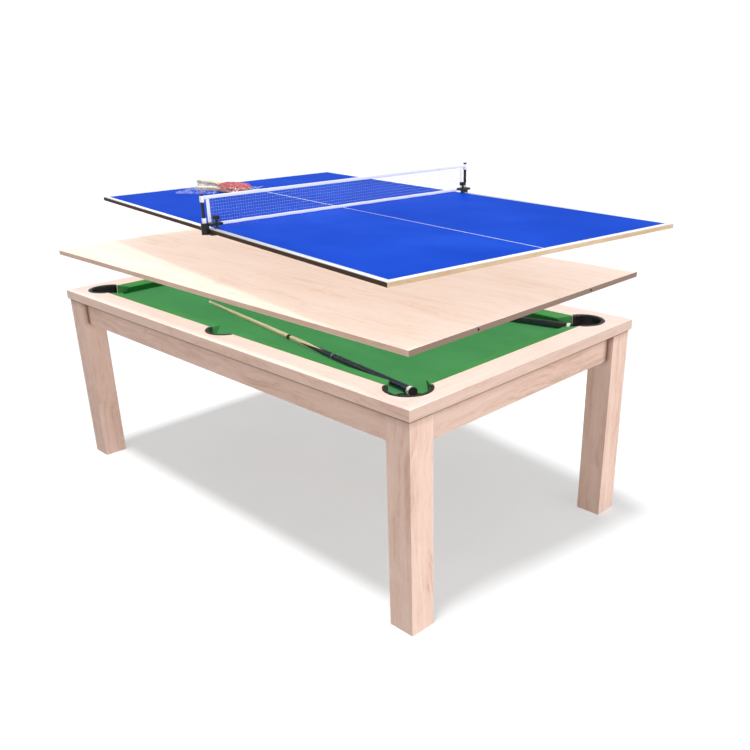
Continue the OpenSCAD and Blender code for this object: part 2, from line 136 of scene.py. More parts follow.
# ---------------------------------------------------------------- node helpers
class G:
    """A material's node tree, built by calls that take numbers, tuples or sockets."""

    def __init__(s, name):
        s.m = bpy.data.materials.new(name)
        s.m.use_nodes = True
        s.t = s.m.node_tree
        s.t.nodes.clear()
        s.out = s.t.nodes.new("ShaderNodeOutputMaterial")
        s.b = s.t.nodes.new("ShaderNodeBsdfPrincipled")
        s.t.links.new(s.b.outputs[0], s.out.inputs[0])

    def put(s, sock, v):
        if isinstance(v, bpy.types.NodeSocket):
            s.t.links.new(v, sock)
        elif v is not None:
            sock.default_value = v if not isinstance(v, tuple) or len(v) != 3 or sock.type != "RGBA" else (*v, 1)

    def base(s, **kw):
        names = {"color": "Base Color", "rough": "Roughness", "metal": "Metallic", "normal": "Normal", "alpha": "Alpha",
                 "coat": "Coat Weight", "coat_rough": "Coat Roughness", "sheen": "Sheen Weight", "sheen_rough": "Sheen Roughness",
                 "sheen_tint": "Sheen Tint", "spec": "Specular IOR Level", "ior": "IOR", "trans": "Transmission Weight",
                 "sss": "Subsurface Weight", "sss_scale": "Subsurface Scale", "emit": "Emission Color", "emit_s": "Emission Strength"}
        for k, v in kw.items():
            s.put(s.b.inputs[names[k]], v)
        return s.m

    def obj(s):
        return s.t.nodes.new("ShaderNodeTexCoord").outputs["Object"]

    def occlusion_shade(s, reach):
        """0 deep in a joint between two pieces, 1 on an open face; used as the mask for painted shade."""
        n = s.t.nodes.new("ShaderNodeAmbientOcclusion")
        n.samples = 6
        n.inputs["Distance"].default_value = reach
        return n.outputs["AO"]

    def edge_highlight_mask(s, radius):
        """0 on a flat face, rising towards its sharp edges; used as the mask for a painted highlight along the edges.
        """
        n = s.t.nodes.new("ShaderNodeBevel")
        n.samples = 4
        n.inputs["Radius"].default_value = radius
        d = s.t.nodes.new("ShaderNodeVectorMath")
        d.operation = "DOT_PRODUCT"
        s.t.links.new(n.outputs["Normal"], d.inputs[0])
        s.t.links.new(s.t.nodes.new("ShaderNodeNewGeometry").outputs["Normal"], d.inputs[1])
        return s.math("SUBTRACT", 1.0, d.outputs["Value"])

    def nrm(s):
        return s.t.nodes.new("ShaderNodeTexCoord").outputs["Normal"]

    def xyz(s, v):
        n = s.t.nodes.new("ShaderNodeSeparateXYZ")
        s.put(n.inputs[0], v)
        return n.outputs

    def vec(s, x, y, z):
        n = s.t.nodes.new("ShaderNodeCombineXYZ")
        for i, v in enumerate((x, y, z)):
            s.put(n.inputs[i], v)
        return n.outputs[0]

    def math(s, op, a, b=None, c=None, clamp=False):
        n = s.t.nodes.new("ShaderNodeMath")
        n.operation = op
        n.use_clamp = clamp
        for i, v in enumerate((a, b, c)):
            if v is not None:
                s.put(n.inputs[i], v)
        return n.outputs[0]

    def vmath(s, op, a, b=None):
        n = s.t.nodes.new("ShaderNodeVectorMath")
        n.operation = op
        for i, v in enumerate((a, b)):
            if v is not None:
                s.put(n.inputs[i], v)
        return n.outputs["Value"] if op in ("LENGTH", "DOT_PRODUCT") else n.outputs[0]

    def map(s, v, a, b, c=0.0, d=1.0, smooth=False):
        n = s.t.nodes.new("ShaderNodeMapRange")
        n.interpolation_type = "SMOOTHSTEP" if smooth else "LINEAR"
        for i, x in enumerate((v, a, b, c, d)):
            s.put(n.inputs[i], x)
        return n.outputs[0]

    def noise(s, vec, scale, detail=3.0, rough=0.55, dist=0.0):
        n = s.t.nodes.new("ShaderNodeTexNoise")
        s.put(n.inputs["Vector"], vec)
        n.inputs["Scale"].default_value = scale
        n.inputs["Detail"].default_value = detail
        n.inputs["Roughness"].default_value = rough
        n.inputs["Distortion"].default_value = dist
        return n.outputs[0]

    def voronoi(s, vec, scale, feature="F1"):
        n = s.t.nodes.new("ShaderNodeTexVoronoi")
        n.feature = feature
        s.put(n.inputs["Vector"], vec)
        n.inputs["Scale"].default_value = scale
        return n.outputs["Distance"]

    def mix(s, f, a, b, mode="MIX"):
        n = s.t.nodes.new("ShaderNodeMix")
        n.data_type = "RGBA"
        n.blend_type = mode
        s.put(n.inputs[0], f)
        s.put(n.inputs[6], a)
        s.put(n.inputs[7], b)
        return n.outputs[2]

    def ramp(s, f, stops):
        n = s.t.nodes.new("ShaderNodeValToRGB")
        e = n.color_ramp.elements
        while len(e) < len(stops):
            e.new(0.5)
        for q, (p, c) in zip(e, stops):
            q.position = p
            q.color = (*c, 1)
        s.put(n.inputs[0], f)
        return n.outputs[0]

    def bump(s, h, strength=0.2, dist=0.001, normal=None):
        n = s.t.nodes.new("ShaderNodeBump")
        n.inputs["Strength"].default_value = strength
        n.inputs["Distance"].default_value = dist
        s.put(n.inputs["Height"], h)
        if normal is not None:
            s.put(n.inputs["Normal"], normal)
        return n.outputs[0]


def srgb(r, g, b):
    def f(c):
        c /= 255
        return c / 12.92 if c <= 0.04045 else ((c + 0.055) / 1.055) ** 2.4
    return f(r), f(g), f(b)


def mul(c, k):
    return tuple(min(1.0, x * k) for x in c)


# ---------------------------------------------------------------- materials
def grain(g, axis, seed):
    """(pattern 0..1, fine pores 0..1) of a straight-grained wood print whose grain runs along axis."""
    x, y, z = g.xyz(g.obj())
    a, b, c = {"X": (x, y, z), "Y": (y, x, z), "Z": (z, x, y)}[axis]
    drift = g.noise(g.vec(g.math("MULTIPLY", a, 0.9), g.math("ADD", b, seed), c), 3.2, 2.0)
    bend = g.math("MULTIPLY", g.math("SUBTRACT", drift, 0.5), 0.10)
    b2 = g.math("ADD", b, bend)
    c2 = g.math("ADD", c, bend)
    streak = g.noise(g.vec(g.math("MULTIPLY", a, 0.045), g.math("ADD", b2, seed), c2), 62, 4.0, 0.62)
    ring = g.noise(g.vec(g.math("MULTIPLY", a, 0.10), g.math("ADD", b2, seed * 2), c2), 15, 2.0, 0.5, 0.6)
    wide = g.noise(g.vec(g.math("MULTIPLY", a, 0.35), g.math("ADD", b, seed * 3), c), 5.0, 1.0)
    pores = g.noise(g.vec(g.math("MULTIPLY", a, 0.035), g.math("ADD", b2, seed), c2), 420, 2.0, 0.7)
    fleck = g.noise(g.vec(g.math("MULTIPLY", a, 0.25), g.math("ADD", b2, seed), c2), 120, 2.0, 0.6)
    p = g.math("ADD", g.math("MULTIPLY", streak, 0.42), g.math("MULTIPLY", ring, 0.30))
    p = g.math("ADD", p, g.math("MULTIPLY", wide, 0.12))
    p = g.math("ADD", p, g.math("MULTIPLY", fleck, 0.16))
    return p, pores


def wood(name, axis, dark, mid, light, seed=0.0, rough=0.48, contrast=1.0, bumpy=0.12, joints=False):
    g = G(name)
    p, pores = grain(g, axis, seed)
    w = 0.17 / contrast
    col = g.ramp(g.map(p, 0.5 - w * 1.15, 0.5 + w * 1.15), [(0.0, dark), (0.42, mid), (1.0, light)])
    col = g.mix(g.math("MULTIPLY", g.map(pores, 0.58, 0.74), 0.30), col, mul(dark, 0.80))
    # painted light: shade where two pieces meet and under the rails, and a pale highlight along the sharp edges
    if joints:
        above = g.map(g.xyz(g.obj())[2], 0.03, 0.09)      # not where a leg meets the floor
        # painted shade, wide and then tight, where two pieces meet
        col = g.mix(g.math("MULTIPLY", g.map(g.occlusion_shade(0.030), 0.45, 0.93, 0.92, 0.0), above), col, mul(srgb(128, 92, 74), 0.8))
        col = g.mix(g.math("MULTIPLY", g.map(g.occlusion_shade(0.009), 0.50, 0.90, 0.80, 0.0), above), col, mul(srgb(112, 78, 62), 0.7))
        # painted highlight: a pale line along the sharp edges
        col = g.mix(g.map(g.edge_highlight_mask(0.0035), 0.03, 0.22, 0.0, 0.6), col, srgb(255, 242, 235))
        # the shade line right under the rails, which reach out over the legs and aprons
        up = g.xyz(g.obj())[2]
        soft, line = ((0.722, 0.750), (0.7455, 0.7480)) if axis == "Z" else ((0.706, 0.742), (0.7275, 0.7355))
        col = g.mix(g.map(up, *soft, 0.0, 0.30), col, mul(srgb(128, 92, 74), 0.8))
        col = g.mix(g.map(up, *line, 0.0, 0.75 if axis == "Z" else 0.66), col, mul(srgb(112, 78, 62), 0.6))
    h = g.math("ADD", g.math("MULTIPLY", p, 0.6), g.math("MULTIPLY", pores, -0.4))
    return g.base(color=col, rough=g.map(p, 0.35, 0.65, rough + 0.06, rough - 0.05), spec=0.35, normal=g.bump(h, bumpy, 0.0006))


TOP_D, TOP_M, TOP_L = srgb(227, 196, 184), srgb(239, 214, 207), srgb(245, 224, 218)
SIDE_D, SIDE_M, SIDE_L = srgb(216, 176, 156), srgb(238, 204, 187), srgb(248, 220, 205)
m_side_x = wood("wood_side_x", "X", SIDE_D, SIDE_M, SIDE_L, 0.3, contrast=1.25, joints=True)
# painted shade: the end aprons take a darker copy of the side print
m_side_y = wood("wood_side_y", "Y", mul(SIDE_D, 0.87), mul(SIDE_M, 0.87), mul(SIDE_L, 0.87), 1.7, contrast=1.25, joints=True)
m_leg = wood("wood_leg", "Z", SIDE_D, SIDE_M, SIDE_L, 2.9, contrast=1.25, joints=True)


def rail_wood(name, axis, seed):
    """Rail: the paler print on its upper face, the side print on its edges, darker on the edges that face the table's
    ends as painted shade.
    """
    g = G(name)
    p, pores = grain(g, axis, seed)
    f = g.map(p, 0.33, 0.67)
    upper = g.ramp(f, [(0.0, TOP_D), (0.42, TOP_M), (1.0, TOP_L)])
    edge = g.ramp(f, [(0.0, SIDE_D), (0.42, SIDE_M), (1.0, SIDE_L)])
    nx, ny, nz = g.xyz(g.nrm())
    # painted shade: the edges facing the table's ends take a darker copy of the side print
    ends = g.ramp(f, [(0.0, mul(SIDE_D, 0.85)), (0.42, mul(SIDE_M, 0.85)), (1.0, mul(SIDE_L, 0.85))])
    edge = g.mix(g.map(g.math("ABSOLUTE", nx), 0.45, 0.8), edge, ends)
    col = g.mix(g.map(nz, 0.45, 0.8), edge, upper)
    col = g.mix(g.math("MULTIPLY", g.map(pores, 0.58, 0.74), 0.28), col, mul(SIDE_D, 0.85))
    # painted highlight: a pale line along the sharp edges
    col = g.mix(g.map(g.edge_highlight_mask(0.0035), 0.03, 0.22, 0.0, 0.6), col, srgb(255, 244, 238))
    return g.base(color=col, rough=g.map(p, 0.35, 0.65, 0.52, 0.43), spec=0.35, normal=g.bump(pores, 0.06, 0.0005))


m_rail_x = rail_wood("rail_wood_x", "X", 4.1)
m_rail_y = rail_wood("rail_wood_y", "Y", 5.3)


def dining_wood():
    g = G("dining_laminate")
    p, pores = grain(g, "X", 6.6)
    d, m, l = srgb(236, 208, 189), srgb(249, 227, 212), srgb(254, 238, 226)
    upper = g.ramp(g.map(p, 0.33, 0.67), [(0.0, d), (0.42, m), (1.0, l)])
    upper = g.mix(g.math("MULTIPLY", g.map(pores, 0.58, 0.74), 0.25), upper, mul(d, 0.85))
    x, y, z = g.xyz(g.obj())
    fib = g.noise(g.obj(), 900, 3.0, 0.7)
    brown = g.ramp(fib, [(0.3, srgb(128, 105, 92)), (0.7, srgb(158, 134, 119))])
    tan = g.ramp(g.map(p, 0.33, 0.67), [(0.0, srgb(214, 178, 156)), (1.0, srgb(242, 212, 190))])
    nx = g.math("ABSOLUTE", g.xyz(g.nrm())[0])
    edge = g.mix(g.map(nx, 0.5, 0.7), tan, brown)
    nz = g.xyz(g.nrm())[2]
    col = g.mix(g.map(g.math("ABSOLUTE", nz), 0.5, 0.75), edge, upper)
    # dark inside the dowel sockets in the two ends: bare board, darkened further as painted shade in the holes
    dy = g.math("SUBTRACT", g.math("ABSOLUTE", y), 0.3)
    dz = g.math("SUBTRACT", z, 0.961)
    far = g.math("SQRT", g.math("ADD", g.math("MULTIPLY", dy, dy), g.math("MULTIPLY", dz, dz)))
    inside = g.math("MULTIPLY", g.map(far, 0.0047, 0.0042), g.map(g.math("ABSOLUTE", x), 1.02, 1.03))
    col = g.mix(inside, col, srgb(64, 47, 38))
    return g.base(color=col, rough=0.45, spec=0.35, normal=g.bump(pores, 0.06, 0.0005))


m_dining = dining_wood()
TURN = math.radians(-8.25)
ct, st = math.cos(TURN), math.sin(TURN)
OX, OY, OZ = 0.084, 0.084, 1.171


def T(p):
    """A point on the squared table-tennis top, in metres from its centre, in the row frame."""
    x, y, z = p
    return (OX + ct * x - st * y, OY + st * x + ct * y, OZ + z)


def tennis_local(g):
    x, y, z = g.xyz(g.obj())
    x = g.math("SUBTRACT", x, OX)
    y = g.math("SUBTRACT", y, OY)
    lx = g.math("ADD", g.math("MULTIPLY", x, ct), g.math("MULTIPLY", y, st))
    ly = g.math("ADD", g.math("MULTIPLY", x, -st), g.math("MULTIPLY", y, ct))
    return lx, ly, z


def tennis_paint():
    g = G("tennis_top")
    lx, ly, z = tennis_local(g)
    co = g.vec(lx, ly, z)
    haze = g.noise(g.vec(g.math("MULTIPLY", lx, 0.7), ly, 0.0), 2.6, 2.0)
    blue = g.ramp(haze, [(0.30, srgb(0, 58, 172)), (0.55, srgb(0, 63, 183)), (0.75, srgb(0, 70, 192))])
    orange = g.noise(co, 1500, 2.0, 0.6)
    p, pores = grain(g, "Y", 8.8)
    pale = g.ramp(g.map(p, 0.38, 0.62), [(0.0, srgb(202, 172, 138)), (1.0, srgb(226, 200, 168))])
    # the long edges dark brown: the board's edge colour, darkened as painted shade; the short ends pale wood
    fib = g.noise(co, 800, 3.0, 0.7)
    brown = g.ramp(fib, [(0.3, srgb(72, 54, 44)), (0.7, srgb(98, 76, 62))])
    n = g.nrm()
    nx = g.math("ABSOLUTE", g.vmath("DOT_PRODUCT", n, (ct, st, 0.0)))
    nz = g.xyz(n)[2]
    edge = g.mix(g.map(nx, 0.6, 0.75), brown, pale)
    lip = g.map(z, OZ - 0.0022, OZ - 0.0016)
    edge = g.mix(lip, edge, srgb(225, 228, 232))
    col = g.mix(g.map(nz, 0.5, 0.75), edge, blue)
    under = g.map(nz, -0.5, -0.75)
    col = g.mix(under, col, srgb(120, 98, 80))
    return g.base(color=col, rough=g.map(haze, 0.3, 0.7, 0.50, 0.42), spec=0.03, normal=g.bump(orange, 0.05, 0.0003))


m_tennis = tennis_paint()


def line_paint():
    g = G("line_paint")
    wear = g.noise(g.obj(), 130, 4.0, 0.7)
    return g.base(color=g.ramp(wear, [(0.25, srgb(214, 218, 222)), (0.6, srgb(238, 240, 242))]), rough=g.map(wear, 0.3, 0.7, 0.5, 0.38),
                  spec=0.35, normal=g.bump(wear, 0.08, 0.0002))


m_lines = line_paint()


def cloth(name, c0, c1, c2, sheen=0.35, nap_x=0.35):
    """Napped billiard cloth: short fibres lying one way, soft patches where the nap turns."""
    g = G(name)
    co = g.obj()
    x, y, z = g.xyz(co)
    fibre = g.noise(g.vec(g.math("MULTIPLY", x, nap_x), y, z), 1400, 2.0, 0.75)
    patch = g.noise(g.vec(g.math("MULTIPLY", x, 0.45), y, z), 5.5, 3.0, 0.55)
    fluff = g.noise(co, 260, 3.0, 0.7)
    v = g.math("ADD", g.math("MULTIPLY", fibre, 0.40), g.math("ADD", g.math("MULTIPLY", patch, 0.36), g.math("MULTIPLY", fluff, 0.24)))
    col = g.ramp(g.map(v, 0.36, 0.64), [(0.0, c0), (0.5, c1), (1.0, c2)])
    h = g.math("ADD", g.math("MULTIPLY", fibre, 0.7), g.math("MULTIPLY", fluff, 0.5))
    return g.base(color=col, rough=0.95, spec=0.05, sheen=sheen, sheen_rough=0.45, sheen_tint=(0.55, 0.85, 0.5, 1), normal=g.bump(h, 0.35, 0.0006))


m_cloth = cloth("bed_cloth_green", srgb(59, 124, 73), srgb(69, 136, 83), srgb(80, 147, 94), 0.08)
m_cushion = cloth("cushion_cloth_green", srgb(54, 122, 64), srgb(66, 137, 76), srgb(78, 150, 88), 0.08)


def plastic(name, c, rough=0.35, grainy=0.25, scale=900, spec=0.5, coat=0.0, tone=0.25):
    g = G(name)
    n = g.noise(g.obj(), scale, 3.0, 0.65)
    wear = g.noise(g.obj(), 28, 3.0, 0.6)
    col = g.ramp(wear, [(0.25, mul(c, 1 - tone)), (0.75, mul(c, 1 + tone))])
    return g.base(color=col, rough=g.map(wear, 0.3, 0.7, rough - 0.05, rough + 0.08), spec=spec, coat=coat, coat_rough=0.12,
                  normal=g.bump(n, grainy, 0.0003))


m_liner = plastic("liner_black", (0.012, 0.012, 0.014), 0.30, 0.18, 700, 0.6)
m_clamp = plastic("clamp_black", (0.012, 0.012, 0.013), 0.38, 0.25, 1200)
m_knob = plastic("knob_black", (0.014, 0.014, 0.015), 0.45, 0.35, 1400)
m_foot = plastic("foot_grey", (0.05, 0.05, 0.052), 0.55, 0.3, 1000)
m_pad = plastic("pad_rubber", (0.02, 0.02, 0.02), 0.75, 0.5, 1100, 0.3)
m_rack = plastic("rack_black", (0.010, 0.011, 0.013), 0.22, 0.08, 500, 0.6, 0.3)
m_bumper = plastic("bumper_rubber", (0.016, 0.016, 0.017), 0.62, 0.4, 1500, 0.3)
m_leveller = plastic("leveller_black", (0.03, 0.03, 0.03), 0.45, 0.3, 1000)
m_ball = plastic("ball_white", srgb(236, 234, 228), 0.42, 0.06, 1800, 0.4, 0.0, 0.02)
m_post = plastic("post_black", (0.014, 0.014, 0.016), 0.28, 0.1, 900, 0.6)


def steel(name, c=(0.56, 0.56, 0.58)):
    g = G(name)
    x, y, z = g.xyz(g.obj())
    brush = g.noise(g.vec(g.math("MULTIPLY", x, 0.1), g.math("MULTIPLY", y, 0.1), z), 1500, 2.0)
    spangle = g.voronoi(g.obj(), 220)
    col = g.ramp(g.math("ADD", g.math("MULTIPLY", brush, 0.6), g.math("MULTIPLY", spangle, 0.4)), [(0.2, mul(c, 0.8)), (0.8, c)])
    return g.base(color=col, metal=1.0, rough=g.map(brush, 0.3, 0.7, 0.30, 0.46), normal=g.bump(brush, 0.12, 0.0003))


m_steel = steel("zinc_steel")
m_board = wood("fibreboard", "X", srgb(128, 98, 70), srgb(158, 126, 94), srgb(176, 146, 112), 9.0, 0.8)
m_soft_x = wood("softwood_x", "X", srgb(168, 126, 82), srgb(204, 164, 116), srgb(222, 188, 142), 10.0, 0.6)
m_dowel = wood("beech", "X", srgb(168, 124, 84), srgb(196, 154, 112), srgb(212, 174, 132), 11.0, 0.6)


def subrail_wood():
    """Planed softwood whose splayed ends are wrapped in the cushions' cloth."""
    g = G("subrail_wood")
    p, pores = grain(g, "X", 10.6)
    bare = g.ramp(g.map(p, 0.36, 0.64), [(0.0, srgb(168, 126, 82)), (0.5, srgb(204, 164, 116)), (1.0, srgb(222, 188, 142))])
    nx, ny, nz = g.xyz(g.nrm())
    end = g.math("MULTIPLY", g.map(g.math("ABSOLUTE", nx), 0.08, 0.12), g.map(g.math("ABSOLUTE", ny), 0.08, 0.12))
    nap = g.noise(g.obj(), 900, 3.0, 0.7)
    green = g.ramp(nap, [(0.3, srgb(54, 122, 64)), (0.7, srgb(78, 150, 88))])
    return g.base(color=g.mix(end, bare, green), rough=0.9, spec=0.1, normal=g.bump(nap, 0.2, 0.0003))


m_subrail = subrail_wood()


# cue materials: u is the distance along the cue from its butt end, w the angle round it
def cue_uw(g, end, heading, z0):
    x, y, z = g.xyz(g.obj())
    x = g.math("SUBTRACT", x, end[0])
    y = g.math("SUBTRACT", y, end[1])
    c, s = math.cos(heading), math.sin(heading)
    u = g.math("ADD", g.math("MULTIPLY", x, c), g.math("MULTIPLY", y, s))
    v = g.math("ADD", g.math("MULTIPLY", x, -s), g.math("MULTIPLY", y, c))
    zz = g.math("ADD", g.math("SUBTRACT", z, z0), g.math("MULTIPLY", u, 0.008 / 1.444))
    return u, v, zz, g.math("ARCTAN2", zz, v)


MAPLE_D, MAPLE_M, MAPLE_L = srgb(196, 176, 138), srgb(222, 206, 172), srgb(234, 222, 194)


def cue_shaft(name, end, heading, z0):
    g = G(name)
    u, v, zz, w = cue_uw(g, end, heading, z0)
    fine = g.noise(g.vec(g.math("MULTIPLY", u, 0.03), v, zz), 700, 3.0, 0.6)
    wide = g.noise(g.vec(g.math("MULTIPLY", u, 0.05), v, zz), 90, 2.0)
    p = g.math("ADD", g.math("MULTIPLY", fine, 0.5), g.math("MULTIPLY", wide, 0.5))
    col = g.ramp(g.map(p, 0.38, 0.62), [(0.0, MAPLE_D), (0.45, MAPLE_M), (1.0, MAPLE_L)])
    col = g.mix(g.map(u, 1.4235, 1.4240), col, srgb(238, 236, 228))
    col = g.mix(g.map(u, 1.4378, 1.4382), col, srgb(84, 104, 128))
    rough = g.mix(g.map(u, 1.4378, 1.4382), (0.28, 0.28, 0.28), (0.9, 0.9, 0.9))
    return g.base(color=col, rough=rough, spec=0.5, coat=0.25, coat_rough=0.15, normal=g.bump(fine, 0.03, 0.0002))


def cue_butt(name, end, heading, z0, forearm_from, butt_c):
    """Dark lacquered butt, then a pale forearm whose dark points taper forwards."""
    g = G(name)
    u, v, zz, w = cue_uw(g, end, heading, z0)
    fine = g.noise(g.vec(g.math("MULTIPLY", u, 0.03), v, zz), 700, 3.0, 0.6)
    pale = g.ramp(g.map(fine, 0.38, 0.62), [(0.0, MAPLE_D), (0.45, MAPLE_M), (1.0, MAPLE_L)])
    speck = g.noise(g.obj(), 500, 3.0, 0.7)
    dark = g.ramp(g.map(speck, 0.3, 0.7), [(0.0, mul(butt_c, 0.6)), (0.7, butt_c), (1.0, mul(butt_c, 2.2))])
    # four points: the share of each quarter turn that is dark falls from all to none over their length
    k = g.math("ABSOLUTE", g.math("SUBTRACT", g.math("FRACT", g.math("ADD", g.math("DIVIDE", w, math.pi / 2), 4.25)), 0.5))
    edge = g.map(u, forearm_from, forearm_from + 0.175, 0.54, -0.02)
    point = g.map(g.math("SUBTRACT", edge, k), -0.012, 0.012)
    veneer = g.math("MULTIPLY", g.map(g.math("SUBTRACT", edge, k), -0.060, -0.045), g.math("SUBTRACT", 1.0, point))
    col = g.mix(veneer, pale, srgb(120, 48, 36))
    col = g.mix(point, col, dark)
    ring = g.math("MULTIPLY", g.map(u, 0.0094, 0.0098), g.map(u, 0.0230, 0.0226))
    col = g.mix(ring, col, srgb(236, 236, 230))
    thin = g.math("MULTIPLY", g.map(u, 0.4495, 0.4500), g.map(u, 0.4545, 0.4540))
    col = g.mix(g.math("MULTIPLY", thin, 0.8), col, srgb(176, 178, 184))
    return g.base(color=col, rough=0.16, spec=0.6, coat=0.6, coat_rough=0.06, normal=g.bump(fine, 0.015, 0.0001))


Z_CUE = 0.750 + 0.0003 + 0.0145
NE, NA = (0.930, -0.435), math.radians(171.56)
FE, FA = (0.915, 0.447), math.radians(192)
m_near_shaft = cue_shaft("near_shaft", NE, NA, Z_CUE)
m_far_shaft = cue_shaft("far_shaft", FE, FA, Z_CUE)
m_near_butt = cue_butt("near_butt", NE, NA, Z_CUE, 0.490, (0.010, 0.015, 0.044))
m_far_butt = cue_butt("far_butt", FE, FA, Z_CUE, 0.490, (0.009, 0.011, 0.022))


def collar():
    g = G("cue_collar")
    u, v, zz, w = cue_uw(g, NE, NA, Z_CUE)
    n = g.noise(g.obj(), 300, 2.0)
    col = g.ramp(n, [(0.3, (0.008, 0.008, 0.009)), (0.7, (0.016, 0.016, 0.018))])
    return g.base(color=col, rough=g.map(n, 0.3, 0.7, 0.12, 0.2), spec=0.6, coat=0.5, coat_rough=0.05)


m_collar = collar()


def tape_cloth():
    """White woven tape: a fine twill with slightly uneven threads."""
    g = G("white_tape")
    lx, ly, z = tennis_local(g)
    a = g.math("SINE", g.math("MULTIPLY", g.math("ADD", ly, z), 2 * math.pi / 0.0011))
    b = g.math("SINE", g.math("MULTIPLY", g.math("SUBTRACT", ly, z), 2 * math.pi / 0.0011))
    weave = g.math("MULTIPLY", a, b)
    soil = g.noise(g.obj(), 45, 3.0)
    col = g.mix(g.map(weave, -0.6, 0.6), srgb(246, 247, 249), srgb(255, 255, 255))
    col = g.mix(g.map(soil, 0.55, 0.8, 0.0, 0.2), col, srgb(226, 228, 230))
    return g.base(color=col, rough=0.75, spec=0.25, sheen=0.2, sheen_rough=0.5, normal=g.bump(weave, 0.3, 0.0002))


m_tape = tape_cloth()


def cord_mat(name, c, alpha=1.0):
    g = G(name)
    if alpha < 1.0:
        g.b.inputs["Alpha"].default_value = alpha
    n = g.noise(g.obj(), 1600, 3.0, 0.7)
    return g.base(color=g.ramp(n, [(0.3, mul(c, 0.7)), (0.7, mul(c, 1.15))]), rough=0.8, spec=0.3, sheen=0.15, normal=g.bump(n, 0.4, 0.0002))


m_thread = cord_mat("net_thread_nylon", srgb(196, 206, 224), 0.5)
m_pocket_cord = cord_mat("pocket_cord_black", (0.016, 0.016, 0.018))
m_stitch = cord_mat("stitch_white", srgb(196, 198, 204))


def bat_wood():
    g = G("bat_blade")
    x, y, z = g.xyz(g.obj())
    p, pores = grain(g, "X", 12.0)
    face = g.ramp(g.map(p, 0.38, 0.62), [(0.0, srgb(188, 156, 112)), (1.0, srgb(220, 194, 152))])
    ply = g.math("FRACT", g.math("MULTIPLY", z, 1 / 0.0024))
    col = g.mix(g.map(g.math("ABSOLUTE", g.math("SUBTRACT", ply, 0.5)), 0.10, 0.2), mul(srgb(160, 122, 80), 1.0), face)
    nz = g.math("ABSOLUTE", g.xyz(g.nrm())[2])
    col = g.mix(g.map(nz, 0.5, 0.8), col, face)
    return g.base(color=col, rough=0.55, spec=0.3, normal=g.bump(pores, 0.1, 0.0003))


m_blade = bat_wood()


def handle_mat():
    g = G("bat_handle")
    p, pores = grain(g, "X", 13.0)
    col = g.ramp(g.map(p, 0.36, 0.64), [(0.0, srgb(212, 196, 162)), (1.0, srgb(236, 226, 202))])
    return g.base(color=col, rough=0.38, spec=0.4, coat=0.2, coat_rough=0.2, normal=g.bump(pores, 0.06, 0.0003))


m_handle = handle_mat()


def rubber_red():
    g = G("bat_rubber_red")
    pimple = g.voronoi(g.obj(), 480)
    wear = g.noise(g.obj(), 26, 4.0, 0.65)
    dust = g.noise(g.obj(), 130, 4.0, 0.7)
    col = g.ramp(wear, [(0.3, srgb(160, 10, 26)), (0.6, srgb(186, 18, 34)), (0.8, srgb(198, 34, 46))])
    col = g.mix(g.math("MULTIPLY", g.map(dust, 0.5, 0.75), 0.25), col, srgb(214, 120, 122))
    return g.base(color=col, rough=g.map(wear, 0.3, 0.7, 0.32, 0.5), spec=0.45, normal=g.bump(pimple, 0.08, 0.0002))


m_rubber = rubber_red()


def edge_tape():
    g = G("bat_edge_tape")
    n = g.noise(g.obj(), 240, 3.0)
    return g.base(color=g.ramp(n, [(0.3, srgb(150, 10, 22)), (0.7, srgb(196, 24, 36))]), rough=0.5, spec=0.4, normal=g.bump(n, 0.15, 0.0003))


def film_mat():
    """Thin clear wrapping film: mostly see-through, more opaque and whiter along the creases of a noise, as painted
    glints.
    """
    g = G("clear_film")
    co = g.obj()
    crease = g.noise(co, 46, 4.0, 0.6, 0.8)
    ridge = g.math("SUBTRACT", 1.0, g.math("MULTIPLY", g.math("ABSOLUTE", g.math("SUBTRACT", crease, 0.5)), 9.0), None, True)
    # painted glints: the film turns more opaque, so whiter, along the noise's creases
    alpha = g.map(ridge, 0.45, 1.0, 0.02, 0.34)
    return g.base(color=(0.86, 0.91, 0.97), rough=0.12, spec=0.6, coat=0.5, coat_rough=0.05, alpha=alpha, normal=g.bump(crease, 0.6, 0.004))


m_film = film_mat()


# ---------------------------------------------------------------- mesh helpers
def mesh_obj(name, verts, faces, body, mats, smooth=True, sharp=35, indices=None):
    me = bpy.data.meshes.new(name)
    me.from_pydata([tuple(map(float, v)) for v in verts], [], [tuple(map(int, f)) for f in faces])
    me.update()
    o = bpy.data.objects.new(name, me)
    scene.collection.objects.link(o)
    for m in mats if isinstance(mats, (list, tuple)) else [mats]:
        me.materials.append(m)
    if indices is not None:
        me.polygons.foreach_set("material_index", indices)
    if smooth:
        me.polygons.foreach_set("use_smooth", [True] * len(me.polygons))
        me.set_sharp_from_angle(angle=math.radians(sharp))
    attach(o, body)
    return o


